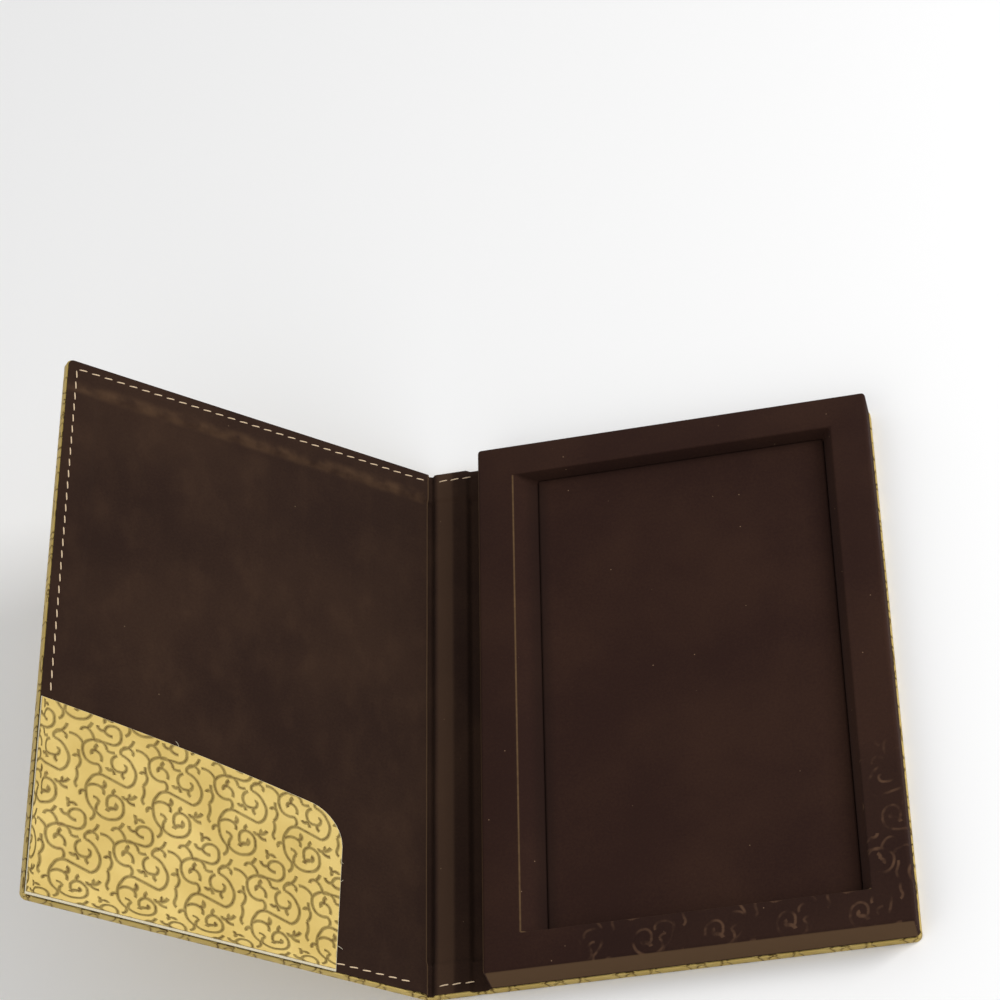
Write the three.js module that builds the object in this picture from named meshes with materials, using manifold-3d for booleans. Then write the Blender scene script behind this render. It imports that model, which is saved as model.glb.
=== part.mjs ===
// Bill folder: two stiff covers hinged to a narrow spine, with a velvet tray on the back cover.
// Millimetres, +Z up. The origin is the centre of the back cover's underside.
// +X runs from the spine to the fore edge of the back cover, +Y from foot to head.
// The folder lies open: back cover and spine flat, front cover raised.

import * as THREE from 'three';
import { mergeVertices } from 'three/addons/utils/BufferGeometryUtils.js';
import Module from 'manifold-3d';

const wasm = await Module();
wasm.setup();

// Covers
const coverWidth = 152; // from a hinge line to the fore edge
const coverHeight = 224; // from foot to head
const cornerRadius = 2.5; // of the covers' outer corners, seen from above
const openAngle = 42.5; // degrees that the front cover stands above flat

// Sheets and boards, from the outside in
const skinThickness = 0.4;
const boardThickness = 1.5;
const liningThickness = 0.4;
const glueGap = 0.25; // room left between two sheets that are glued together
const turnInWidth = 12; // skin folded over the board's edges onto its inner face
const coverBoardSetback = 4; // from a hinge line to the board of a cover
const spineBoardSetback = 4.5; // from a hinge line to the board of the spine
const hingeSlit = 0.15; // from a hinge line to each skin beside it
const liningHingeSetback = 1.2; // from a hinge line to each lining beside it
const liningEdgeInset = 0.5; // from the skin's side to the lining's cut edge
const liningSlopeRun = 1.4; // length over which the lining drops off a board's edge
const liningStepRun = 0.8; // length over which the lining drops off the turned-in skin

// Pocket on the inside of the front cover
const pocketThickness = 0.5;
const pocketWidth = 114; // from the fore edge towards the spine
const pocketHeightAtForeEdge = 75.5;
const pocketHeightAtCorner = 60.5;
const pocketCornerRadius = 11;
const pocketEdgeInset = 0.8; // from the cover's edge

// Tray on the back cover
const trayHeight = 11.2;
const trayEdgeInset = 0.4; // from the cover's head, foot and fore edge
const trayEdgeRound = 1.4;
const velvetThickness = 0.8;
const hingeSideRim = 13.4; // widths of the flat rim round the recess
const foreEdgeRim = 13.8;
const endRim = 14;
const recessDepth = 6.2; // from the rim down to the pad
const hingeSideSlope = 8.5; // how far the recess walls lean in
const foreEdgeSlope = 3.6;
const padEdgeRound = 1.6;
const padClearance = 0.3;

// Room that moving pieces keep to each other
const closedClearance = 0.3; // from the pocket to the tray's rim with the folder shut
const spineClearance = 0.35; // from the raised spine to the tray's wall

// Heights above the hinge lines, which run along the inner face of the skin
const boardBottom = glueGap;
const boardTop = boardBottom + boardThickness;
const turnInBottom = boardTop + glueGap;
const turnInTop = turnInBottom + skinThickness;
const lowLiningTop = boardTop + glueGap + liningThickness;
const highLiningTop = turnInTop + glueGap + liningThickness;
const grooveLiningTop = glueGap + liningThickness;
const pocketBottom = highLiningTop + glueGap;
const pocketTop = pocketBottom + pocketThickness;
const trayBottom = highLiningTop + glueGap;
const trayTop = trayBottom + trayHeight;
const trayHingeSetback = highLiningTop + spineClearance;
const spineWidth = trayTop + closedClearance + pocketTop; // from hinge line to hinge line

// Half sizes and rounding detail
const halfHeight = coverHeight / 2;
const arcSteps = 4;
const beyond = 5; // how far a cutter reaches past what it cuts

const goldSkin = new THREE.MeshStandardMaterial({ color: 0xd7be73, roughness: 0.5, metalness: 0.25 });
const brownSuede = new THREE.MeshStandardMaterial({ color: 0x34231b, roughness: 0.95, metalness: 0 });
const brownVelvet = new THREE.MeshStandardMaterial({ color: 0x301e18, roughness: 1, metalness: 0 });
const greyBoard = new THREE.MeshStandardMaterial({ color: 0x8d8a83, roughness: 0.9, metalness: 0 });
const woodBoard = new THREE.MeshStandardMaterial({ color: 0xa98a63, roughness: 0.85, metalness: 0 });

// A closed geometry as a solid that can be joined and cut.
function toSolid(geometry) {
  const plain = geometry.index ? geometry.toNonIndexed() : geometry.clone();
  plain.deleteAttribute('normal');
  plain.deleteAttribute('uv');
  const merged = mergeVertices(plain, 1e-4);
  return new wasm.Manifold(new wasm.Mesh({
    numProp: 3,
    vertProperties: new Float32Array(merged.attributes.position.array),
    triVerts: new Uint32Array(merged.index.array),
  }));
}

// A solid as a named mesh.
function toMesh(name, solid, material) {
  const result = solid.getMesh();
  const geometry = new THREE.BufferGeometry();
  geometry.setAttribute('position', new THREE.BufferAttribute(new Float32Array(result.vertProperties), 3));
  geometry.setIndex(new THREE.BufferAttribute(new Uint32Array(result.triVerts), 1));
  geometry.computeVertexNormals();
  const mesh = new THREE.Mesh(geometry, material);
  mesh.name = name;
  return mesh;
}

// A shape drawn in X and Y, extruded from one height to another.
function plate(shape, bottom, top) {
  const geometry = new THREE.ExtrudeGeometry(shape, {
    depth: top - bottom,
    bevelEnabled: false,
    curveSegments: arcSteps,
  });
  return toSolid(geometry.translate(0, 0, bottom));
}

// A section drawn in X and Z, extruded along Y.
function barAlongY(shape, from, to) {
  const geometry = new THREE.ExtrudeGeometry(shape, {
    depth: to - from,
    bevelEnabled: false,
    curveSegments: arcSteps,
  });
  return toSolid(geometry.rotateX(Math.PI / 2).translate(0, to, 0));
}

// A section drawn in Y and Z, extruded along X.
function barAlongX(shape, from, to) {
  const geometry = new THREE.ExtrudeGeometry(shape, {
    depth: to - from,
    bevelEnabled: false,
    curveSegments: arcSteps,
  });
  return toSolid(geometry.rotateX(Math.PI / 2).rotateZ(Math.PI / 2).translate(from, 0, 0));
}

function polygon(points) {
  return new THREE.Shape(points.map(([x, y]) => new THREE.Vector2(x, y)));
}

// A box between two x, two y and two z values, given in any order of x.
function block(x0, x1, y0, y1, z0, z1) {
  return plate(polygon([[x0, y0], [x1, y0], [x1, y1], [x0, y1]]), z0, z1);
}

// The outline of a cover's sheet: square at the hinge end, rounded at the fore edge.
// side is 1 when the cover lies on the +X side of its hinge line and -1 on the other.
function coverOutline(side, near, far, halfLength, radius) {
  const shape = new THREE.Shape();
  shape.moveTo(side * near, -halfLength);
  shape.lineTo(side * (far - radius), -halfLength);
  shape.quadraticCurveTo(side * far, -halfLength, side * far, -halfLength + radius);
  shape.lineTo(side * far, halfLength - radius);
  shape.quadraticCurveTo(side * far, halfLength, side * (far - radius), halfLength);
  shape.lineTo(side * near, halfLength);
  shape.closePath();
  return shape;
}

// The top surface of a section with its two upper corners rounded, and straight down sides.
function roundedTop(left, right, bottom, top, radius) {
  const shape = new THREE.Shape();
  shape.moveTo(left, bottom);
  shape.lineTo(right, bottom);
  shape.lineTo(right, top - radius);
  shape.absarc(right - radius, top - radius, radius, 0, Math.PI / 2, false);
  shape.lineTo(left + radius, top);
  shape.absarc(left + radius, top - radius, radius, Math.PI / 2, Math.PI, false);
  shape.closePath();
  return shape;
}

// A block whose four upper edges are rounded.
function cushionBlock(left, right, halfLength, bottom, top, radius) {
  const across = barAlongY(roundedTop(left, right, bottom, top, radius), -halfLength, halfLength);
  const along = barAlongX(roundedTop(-halfLength, halfLength, bottom, top, radius), left, right);
  return across.intersect(along);
}

// The gold skin of a cover: one sheet that wraps three sides of the board and turns in over it.
function coverSkin(side) {
  const innerFar = coverWidth - skinThickness;
  const innerHalf = halfHeight - skinThickness;
  const outside = plate(
    coverOutline(side, hingeSlit, coverWidth, halfHeight, cornerRadius), -skinThickness, turnInTop);
  const boardRoom = plate(
    coverOutline(side, -beyond, innerFar, innerHalf, cornerRadius - skinThickness), 0, turnInBottom);
  const window = block(
    -side * beyond, side * (coverWidth - turnInWidth),
    -(halfHeight - turnInWidth), halfHeight - turnInWidth, turnInBottom - glueGap, turnInTop + beyond);
  const hingeStrip = block(
    -side * beyond, side * coverBoardSetback, -halfHeight - beyond, halfHeight + beyond,
    0, turnInTop + beyond);
  return outside.subtract(boardRoom).subtract(window).subtract(hingeStrip);
}

function coverBoard(side) {
  const inset = skinThickness + glueGap;
  return plate(
    coverOutline(side, coverBoardSetback, coverWidth - inset, halfHeight - inset, cornerRadius - inset),
    boardBottom, boardTop);
}

// The section of a cover's lining from hinge line to fore edge.
// level is the height over the board, and depth gives how far it reaches below each point.
function coverLiningSection(side, level, depth) {
  const overBoard = coverBoardSetback - glueGap;
  const offBoard = overBoard - liningSlopeRun;
  const stepEnd = coverWidth - turnInWidth - glueGap;
  const stepStart = stepEnd - liningStepRun;
  const end = coverWidth - liningEdgeInset;
  const surface = [
    [liningHingeSetback, grooveLiningTop],
    [offBoard, grooveLiningTop],
    [overBoard, level],
    [stepStart, level],
    [stepEnd, highLiningTop],
    [end, highLiningTop],
  ];
  return liningShape(side, surface, depth);
}

// A section with the given upper surface. depth gives how far it reaches below each point.
function liningShape(side, surface, depth) {
  const underside = surface.map(([x, z]) => [x, z - depth(x, z)]).reverse();
  return polygon([...surface, ...underside].map(([x, z]) => [side * x, z]));
}

const sheetDepth = () => liningThickness;

// The short wall between the lining's two levels, which stops at the skin turned in at the fore edge.
function riserDepth(x, height) {
  const clearOfTurnIn = x < coverWidth - turnInWidth - glueGap;
  return liningThickness + (clearOfTurnIn ? Math.max(0, height - lowLiningTop) : 0);
}

// A lining that lies low over the board and high over the skin turned in at head and foot.
function steppedLining(section) {
  const stepEnd = halfHeight - turnInWidth - glueGap;
  const stepStart = stepEnd - liningStepRun;
  const end = halfHeight - liningEdgeInset;
  let solid = barAlongY(section(lowLiningTop, sheetDepth), -stepEnd, stepEnd);
  for (const [near, far] of [[stepStart, stepEnd], [-stepEnd, -stepStart]]) {
    solid = solid.add(barAlongY(section(highLiningTop, riserDepth), near, far));
  }
  for (const [near, far] of [[stepStart, end], [-end, -stepStart]]) {
    solid = solid.add(barAlongY(section(highLiningTop, sheetDepth), near, far));
  }
  return solid;
}

function coverLining(side) {
  const corners = plate(
    coverOutline(side, -beyond, coverWidth - liningEdgeInset, halfHeight - liningEdgeInset,
      cornerRadius - liningEdgeInset),
    -beyond, highLiningTop + beyond);
  return steppedLining((level, depth) => coverLiningSection(side, level, depth)).intersect(corners);
}

// The spine between its two hinge lines, at x = 0 and x = -spineWidth.
function spineSkin() {
  const sheet = block(-hingeSlit, hingeSlit - spineWidth, -halfHeight, halfHeight, -skinThickness, 0);
  const near = -spineBoardSetback;
  const far = spineBoardSetback - spineWidth;
  let solid = sheet;
  for (const end of [-1, 1]) {
    const outer = end * halfHeight;
    const inner = end * (halfHeight - skinThickness);
    const edge = end * (halfHeight - turnInWidth);
    const wall = block(near, far, Math.min(outer, inner), Math.max(outer, inner), -skinThickness, turnInTop);
    const flap = block(near, far, Math.min(outer, edge), Math.max(outer, edge), turnInBottom, turnInTop);
    solid = solid.add(wall).add(flap);
  }
  return solid;
}

function spineBoard() {
  const end = halfHeight - skinThickness - glueGap;
  return block(-spineBoardSetback, spineBoardSetback - spineWidth, -end, end, boardBottom, boardTop);
}

function spineLining() {
  const overBoard = spineBoardSetback - glueGap;
  const offBoard = overBoard - liningSlopeRun;
  const section = (level, depth) => liningShape(-1, [
    [liningHingeSetback, grooveLiningTop],
    [offBoard, grooveLiningTop],
    [overBoard, level],
    [spineWidth - overBoard, level],
    [spineWidth - offBoard, grooveLiningTop],
    [spineWidth - liningHingeSetback, grooveLiningTop],
  ], depth);
  return steppedLining(section);
}

// The pocket: a sheet sewn down along the fore edge and the foot, open at its slanted top.
function billPocket() {
  const outer = -(coverWidth - pocketEdgeInset);
  const inner = -(coverWidth - pocketWidth);
  const foot = -halfHeight + pocketEdgeInset;
  const highTop = -halfHeight + pocketHeightAtForeEdge;
  const lowTop = -halfHeight + pocketHeightAtCorner;
  const slope = (highTop - lowTop) / (outer - inner);
  const shape = new THREE.Shape();
  shape.moveTo(outer, foot);
  shape.lineTo(inner, foot);
  shape.lineTo(inner, lowTop - pocketCornerRadius);
  shape.quadraticCurveTo(inner, lowTop, inner - pocketCornerRadius, lowTop - slope * pocketCornerRadius);
  shape.lineTo(outer, highTop);
  shape.closePath();
  return plate(shape, pocketBottom, pocketTop);
}

// Tray limits, measured from the back cover's hinge line
const trayNear = trayHingeSetback;
const trayFar = coverWidth - trayEdgeInset;
const trayHalf = halfHeight - trayEdgeInset;
const recessNear = trayNear + hingeSideRim;
const recessFar = trayFar - foreEdgeRim;
const recessHalf = trayHalf - endRim;
const padTop = trayTop - recessDepth;
const wallFoot = padTop - padEdgeRound;

// The recess as a cutter, grown sideways by the given amount.
function recessCutter(grow) {
  const section = polygon([
    [recessNear - grow, trayTop + beyond],
    [recessNear - grow, trayTop],
    [recessNear - grow + hingeSideSlope, wallFoot],
    [recessNear - grow + hingeSideSlope, trayBottom - beyond],
    [recessFar + grow - foreEdgeSlope, trayBottom - beyond],
    [recessFar + grow - foreEdgeSlope, wallFoot],
    [recessFar + grow, trayTop],
    [recessFar + grow, trayTop + beyond],
  ]);
  return barAlongY(section, -recessHalf - grow, recessHalf + grow);
}

// The stiff frame inside the tray, less the given clearance all round.
function trayFrame(clearance) {
  const inset = velvetThickness + clearance;
  const outside = block(
    trayNear + inset, trayFar - inset, -(trayHalf - inset), trayHalf - inset, trayBottom, trayTop - inset);
  return outside.subtract(recessCutter(inset));
}

// The velvet: one cloth over the frame's top, outside and recess walls, open underneath.
function trayVelvetWrap() {
  const outside = cushionBlock(trayNear, trayFar, trayHalf, trayBottom, trayTop, trayEdgeRound);
  const frameRoom = trayFrame(0);
  const openBottom = frameRoom.translate([0, 0, -velvetThickness]);
  return outside.subtract(recessCutter(0)).subtract(frameRoom).subtract(openBottom);
}

function trayFloorPad() {
  const near = recessNear + hingeSideSlope + padClearance;
  const far = recessFar - foreEdgeSlope - padClearance;
  return cushionBlock(near, far, recessHalf - padClearance, trayBottom, padTop, padEdgeRound);
}

// Back cover and tray: the fixed body
const back = new THREE.Group();
back.position.set(-coverWidth / 2, 0, skinThickness);
back.add(
  toMesh('back_cover_skin', coverSkin(1), goldSkin),
  toMesh('back_cover_board', coverBoard(1), greyBoard),
  toMesh('back_cover_lining', coverLining(1), brownSuede),
  toMesh('tray_frame', trayFrame(glueGap), woodBoard),
  toMesh('tray_velvet_wrap', trayVelvetWrap(), brownVelvet),
  toMesh('tray_floor_pad', trayFloorPad(), brownVelvet),
);

// Front cover and pocket: they turn about the spine's far hinge line
const frontCover = new THREE.Group();
frontCover.position.set(-spineWidth, 0, 0);
frontCover.rotation.y = THREE.MathUtils.degToRad(openAngle);
frontCover.add(
  toMesh('front_cover_skin', coverSkin(-1), goldSkin),
  toMesh('front_cover_board', coverBoard(-1), greyBoard),
  toMesh('front_cover_lining', coverLining(-1), brownSuede),
  toMesh('bill_pocket', billPocket(), goldSkin),
);

// Spine: it turns about the back cover's hinge line and carries the front cover
const spine = new THREE.Group();
spine.add(
  toMesh('spine_skin', spineSkin(), goldSkin),
  toMesh('spine_board', spineBoard(), greyBoard),
  toMesh('spine_lining', spineLining(), brownSuede),
  frontCover,
);
back.add(spine);

const group = new THREE.Group();
group.add(back);

export default group;
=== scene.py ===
"""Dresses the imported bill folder: gold embossed leatherette, suede lining and a velvet tray."""

import logging
import math
from dataclasses import dataclass, field
from enum import Enum
from typing import Callable, Iterable, Sequence

import bmesh
import bpy
from mathutils import Matrix, Vector


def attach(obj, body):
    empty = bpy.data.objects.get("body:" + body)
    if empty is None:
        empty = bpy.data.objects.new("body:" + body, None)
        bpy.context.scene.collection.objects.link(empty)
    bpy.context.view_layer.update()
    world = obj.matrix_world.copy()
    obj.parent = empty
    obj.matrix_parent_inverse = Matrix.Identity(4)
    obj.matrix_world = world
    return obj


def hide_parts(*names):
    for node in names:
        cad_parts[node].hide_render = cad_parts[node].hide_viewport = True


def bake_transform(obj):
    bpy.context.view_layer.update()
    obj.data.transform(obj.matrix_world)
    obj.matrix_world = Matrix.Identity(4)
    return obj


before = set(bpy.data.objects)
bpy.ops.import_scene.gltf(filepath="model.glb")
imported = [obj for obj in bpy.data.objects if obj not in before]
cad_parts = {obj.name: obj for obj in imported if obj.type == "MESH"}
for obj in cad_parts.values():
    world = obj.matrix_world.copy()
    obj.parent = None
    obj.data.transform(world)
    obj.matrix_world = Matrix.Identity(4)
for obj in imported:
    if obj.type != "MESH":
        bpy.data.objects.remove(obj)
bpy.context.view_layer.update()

LOG = logging.getLogger("bill_folder")
MM = 0.001


# Sizes


ALONG_X = (1.0, 0.0, 0.0)
ALONG_Y = (0.0, 1.0, 0.0)
ALONG_Z = (0.0, 0.0, 1.0)


@dataclass(frozen=True)
class FolderSizes:
    """The folder's sizes in millimetres, as in the part's source."""

    cover_width: float = 152.0
    cover_height: float = 224.0
    corner_radius: float = 2.5
    open_angle: float = 42.5
    spine_width: float = 18.6
    skin: float = 0.4
    lining: float = 0.4
    turn_in: float = 12.0
    board_setback: float = 4.0
    groove_level: float = 0.65
    low_level: float = 2.4
    high_level: float = 3.05
    flange_level: float = 2.4
    flange_groove_level: float = 1.2
    lining_inset: float = 0.5
    fold_reach: float = 2.2
    seam_inset: float = 3.8
    outside_groove: float = 0.3
    groove_rise: float = 1.2
    seam_depth: float = 0.16
    seam_reach: float = 0.9

    @property
    def half_height(self) -> float:
        """Half of the cover's height."""
        return self.cover_height / 2

    @property
    def hinge_offset(self) -> Vector:
        """The back cover's hinge line, seen from the origin of the row frame."""
        return Vector((-self.cover_width / 2, 0.0, self.skin))


@dataclass(frozen=True)
class TraySizes:
    """The tray's sizes in millimetres, from the back cover's hinge line."""

    near: float = 3.4
    far: float = 151.6
    half: float = 111.6
    bottom: float = 3.3
    top: float = 14.5
    hinge_rim: float = 13.4
    fore_rim: float = 13.8
    end_rim: float = 14.0
    hinge_slope: float = 8.5
    fore_slope: float = 3.6
    pad_top: float = 8.3
    pad_round: float = 0.9
    pad_gap: float = 0.12
    edge_round: float = 1.4
    lip_round: float = 0.7
    velvet: float = 0.8


@dataclass(frozen=True)
class PocketSizes:
    """The pocket's sizes in millimetres, on the inside of the front cover."""

    outer: float = 151.2
    inner_top: float = 36.8
    inner_foot: float = 38.3
    foot: float = -110.9
    height_outer: float = 75.3
    height_corner: float = 60.3
    corner: float = 12.5
    bottom: float = 3.3
    face: float = 0.28
    backing: float = 0.34
    lift: float = 0.14


class Side(Enum):
    """Which cover a piece belongs to."""

    FRONT = -1
    BACK = 1


# Small helpers


def smooth(low: float, high: float, value: float) -> float:
    """Rises softly from 0 at low to 1 at high."""
    share = min(1.0, max(0.0, (value - low) / (high - low)))
    return share * share * (3 - 2 * share)


def linear(channels: Sequence[int]) -> tuple[float, float, float, float]:
    """Turns a screen colour into the linear colour of a shader.

    Args:
        channels: Red, green and blue from 0 to 255.

    Returns:
        The linear colour with an alpha of 1.
    """
    plain = [c / 255 for c in channels]
    lit = [p / 12.92 if p <= 0.04045 else ((p + 0.055) / 1.055) ** 2.4 for p in plain]
    return (lit[0], lit[1], lit[2], 1.0)


def spaced(stops: Sequence[tuple[float, float]]) -> list[float]:
    """Lists positions along a sheet, finer where its shape changes.

    Args:
        stops: Pairs of a position and the largest step before the next one.

    Returns:
        The positions in order.
    """
    places: list[float] = []
    for (start, step), (end, _) in zip(stops, stops[1:]):
        parts = max(1, math.ceil((end - start) / step))
        places += [start + (end - start) * i / parts for i in range(parts)]
    places.append(stops[-1][0])
    return places


def deselect_all() -> None:
    """Leaves nothing selected."""
    if bpy.context.mode != "OBJECT":
        bpy.ops.object.mode_set(mode="OBJECT")
    bpy.ops.object.select_all(action="DESELECT")


def pick(obj: bpy.types.Object) -> None:
    """Makes one object the selected and active one."""
    deselect_all()
    obj.select_set(True)
    bpy.context.view_layer.objects.active = obj


def finish_modifiers(obj: bpy.types.Object) -> None:
    """Applies all modifiers of an object."""
    pick(obj)
    for modifier in list(obj.modifiers):
        bpy.ops.object.modifier_apply(modifier=modifier.name)


def select_edges(obj: bpy.types.Object, wanted: Callable[[Vector, Vector], bool]) -> None:
    """Enters edit mode with only the wanted edges selected.

    Args:
        obj: The object to work on.
        wanted: Takes an edge's two ends and tells if it is wanted.
    """
    pick(obj)
    bpy.ops.object.mode_set(mode="EDIT")
    bpy.ops.mesh.select_mode(type="EDGE")
    bpy.ops.mesh.select_all(action="DESELECT")
    mesh = bmesh.from_edit_mesh(obj.data)
    for edge in mesh.edges:
        if wanted(edge.verts[0].co, edge.verts[1].co):
            edge.select_set(True)
    bmesh.update_edit_mesh(obj.data)


def smooth_shade(obj: bpy.types.Object, degrees: float = 35.0) -> None:
    """Shades an object smoothly across its flatter edges."""
    pick(obj)
    bpy.ops.object.shade_smooth_by_angle(angle=math.radians(degrees))


def grid_sheet(name: str, xs: Sequence[float], ys: Sequence[float]) -> bpy.types.Object:
    """Adds a flat grid whose lines lie at the given places.

    Args:
        name: The object's name.
        xs: Places of the lines along X, in metres.
        ys: Places of the lines along Y, in metres.

    Returns:
        The sheet, facing up.
    """
    deselect_all()
    bpy.ops.mesh.primitive_grid_add(x_subdivisions=len(xs) - 1, y_subdivisions=len(ys) - 1, size=2.0)
    obj = bpy.context.object
    obj.name = name
    for vertex in obj.data.vertices:
        column = round((vertex.co.x + 1) / 2 * (len(xs) - 1))
        row = round((vertex.co.y + 1) / 2 * (len(ys) - 1))
        vertex.co = (xs[column], ys[row], 0.0)
    return obj


def join(name: str, objects: Sequence[bpy.types.Object]) -> bpy.types.Object:
    """Joins objects into one with the given name."""
    deselect_all()
    for obj in objects:
        obj.select_set(True)
    bpy.context.view_layer.objects.active = objects[0]
    if len(objects) > 1:
        bpy.ops.object.join()
    joined = bpy.context.object
    joined.name = name
    joined.data.name = name
    return joined


def report(obj: bpy.types.Object) -> None:
    """Logs a finished piece and its number of triangles."""
    triangles = sum(len(face.vertices) - 2 for face in obj.data.polygons)
    LOG.info("%s: %d triangles", obj.name, triangles)


# Shader building


class Signal:
    """A shader value that can stand in sums."""

    def __init__(self, graph: "Graph", socket: bpy.types.NodeSocket) -> None:
        """Keeps the graph and the socket that gives the value."""
        self.graph = graph
        self.socket = socket

    def _math(self, operation: str, *others: "Signal | float", clamp: bool = False) -> "Signal":
        """Adds a Math node whose first value is this one.

        Args:
            operation: The Math node's operation.
            others: Its other values.
            clamp: Whether the result is held between 0 and 1.

        Returns:
            The node's result.
        """
        return self.graph.math(operation, self, *others, clamp=clamp)

    def __add__(self, other: "Signal | float") -> "Signal":
        """Adds."""
        return self._math("ADD", other)

    __radd__ = __add__

    def __sub__(self, other: "Signal | float") -> "Signal":
        """Takes away."""
        return self._math("SUBTRACT", other)

    def __rsub__(self, other: "Signal | float") -> "Signal":
        """Takes this away from the other."""
        return self.graph.math("SUBTRACT", other, self)

    def __mul__(self, other: "Signal | float") -> "Signal":
        """Multiplies."""
        return self._math("MULTIPLY", other)

    __rmul__ = __mul__

    def __truediv__(self, other: "Signal | float") -> "Signal":
        """Divides."""
        return self._math("DIVIDE", other)

    def least(self, other: "Signal | float") -> "Signal":
        """The smaller of two values."""
        return self._math("MINIMUM", other)

    def most(self, other: "Signal | float") -> "Signal":
        """The larger of two values."""
        return self._math("MAXIMUM", other)

    def size(self) -> "Signal":
        """The value without its sign."""
        return self._math("ABSOLUTE")

    def root(self) -> "Signal":
        """The square root."""
        return self._math("SQRT")

    def below(self, limit: "Signal | float") -> "Signal":
        """1 where the value is below the limit, else 0."""
        return self._math("LESS_THAN", limit)

    def times_plus(self, factor: "Signal | float", extra: "Signal | float") -> "Signal":
        """The value times a factor, plus an extra."""
        return self._math("MULTIPLY_ADD", factor, extra)

    def fade(self, low: float, high: float) -> "Signal":
        """Rises softly from 0 at low to 1 at high."""
        node = self.graph.node(
            "ShaderNodeMapRange",
            {"interpolation_type": "SMOOTHSTEP"},
            {"Value": self, "From Min": low, "From Max": high, "To Min": 0.0, "To Max": 1.0},
        )
        return Signal(self.graph, node.outputs["Result"])


Value = Signal | float | Sequence[float] | bpy.types.NodeSocket


class Graph:
    """The node tree of one material."""

    def __init__(self, name: str) -> None:
        """Makes a material with an empty Principled shader."""
        self.material = bpy.data.materials.new(name)
        self.material.use_nodes = True
        self.tree = self.material.node_tree
        self.tree.nodes.clear()
        self.shader = self.node("ShaderNodeBsdfPrincipled", {}, {})
        output = self.node("ShaderNodeOutputMaterial", {}, {})
        self.tree.links.new(self.shader.outputs["BSDF"], output.inputs["Surface"])

    def node(
        self, kind: str, settings: dict[str, object], inputs: dict[str | int, Value]
    ) -> bpy.types.Node:
        """Adds a node of any type.

        Args:
            kind: The node's type.
            settings: Its settings, which are set first. Stops are a ramp's places and colours.
            inputs: Values or links, by socket name or number.

        Returns:
            The node.
        """
        made = self.tree.nodes.new(kind)
        for key, setting in settings.items():
            if key == "stops":
                self._set_stops(made, setting)
            else:
                setattr(made, key, setting)
        for key, value in inputs.items():
            socket = made.inputs[key]
            if isinstance(value, Signal):
                self.tree.links.new(value.socket, socket)
            elif isinstance(value, bpy.types.NodeSocket):
                self.tree.links.new(value, socket)
            else:
                socket.default_value = value
        return made

    def _set_stops(self, made: bpy.types.Node, stops: object) -> None:
        """Sets the places and colours of a ramp."""
        elements = made.color_ramp.elements
        pairs = list(stops)
        while len(elements) < len(pairs):
            elements.new(0.5)
        for element, (place, colour) in zip(elements, pairs):
            element.position = place
            element.color = colour

    def math(self, operation: str, *values: Signal | float, clamp: bool = False) -> Signal:
        """Adds a Math node and gives its result."""
        made = self.node(
            "ShaderNodeMath", {"operation": operation, "use_clamp": clamp}, dict(enumerate(values))
        )
        return Signal(self, made.outputs[0])

    def vector(self, operation: str, *values: Value) -> bpy.types.Node:
        """Adds a Vector Math node."""
        return self.node("ShaderNodeVectorMath", {"operation": operation}, dict(enumerate(values)))

    def dot(self, place: bpy.types.NodeSocket, direction: Sequence[float]) -> Signal:
        """How far a place lies along a direction."""
        return Signal(self, self.vector("DOT_PRODUCT", place, direction).outputs["Value"])

    def place(self) -> bpy.types.NodeSocket:
        """Object coordinates in millimetres."""
        source = self.node("ShaderNodeTexCoord", {}, {}).outputs["Object"]
        scaled = self.node("ShaderNodeVectorMath", {"operation": "SCALE"}, {0: source, "Scale": 1000.0})
        return scaled.outputs["Vector"]

    def unrolled(self) -> bpy.types.NodeSocket:
        """The piece's own map, in millimetres along the flat sheet."""
        source = self.node("ShaderNodeUVMap", {"uv_map": SheetMap.NAME}, {}).outputs["UV"]
        scaled = self.node(
            "ShaderNodeVectorMath", {"operation": "SCALE"}, {0: source, "Scale": SheetMap.SPAN}
        )
        return scaled.outputs["Vector"]

    def noise(
        self,
        place: bpy.types.NodeSocket,
        scale: float,
        detail: float = 3.0,
        roughness: float = 0.5,
        stretch: Sequence[float] = (1.0, 1.0, 1.0),
    ) -> Signal:
        """Soft noise.

        Args:
            place: Where it is read, in millimetres.
            scale: Its waves in each millimetre.
            detail: How many finer layers it has.
            roughness: How strong the finer layers are.
            stretch: Its scale along each axis.

        Returns:
            A value of about 0 to 1.
        """
        stretched = self.vector("MULTIPLY", place, stretch).outputs["Vector"]
        made = self.node(
            "ShaderNodeTexNoise",
            {},
            {"Vector": stretched, "Scale": scale, "Detail": detail, "Roughness": roughness},
        )
        return Signal(self, made.outputs["Fac"])

    def specks(self, place: bpy.types.NodeSocket, scale: float, share: float, radius: float) -> Signal:
        """Sparse small specks, such as lint.

        Args:
            place: Where they are read, in millimetres.
            scale: The cells in each millimetre.
            share: The share of cells that hold a speck.
            radius: The radius of a speck in cells.

        Returns:
            1 on a speck and 0 elsewhere.
        """
        made = self.node(
            "ShaderNodeTexVoronoi", {"feature": "F1"}, {"Vector": place, "Scale": scale, "Randomness": 1.0}
        )
        lot = self.node("ShaderNodeSeparateColor", {}, {"Color": made.outputs["Color"]})
        chosen = Signal(self, lot.outputs[0]).below(share)
        near = 1 - Signal(self, made.outputs["Distance"]).fade(radius * 0.5, radius)
        return chosen * near

    def blend(self, factor: Signal | float, first: Value, second: Value) -> bpy.types.NodeSocket:
        """Mixes two colours."""
        made = self.node(
            "ShaderNodeMix", {"data_type": "RGBA"}, {0: factor, 6: first, 7: second}
        )
        return made.outputs[2]

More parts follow.
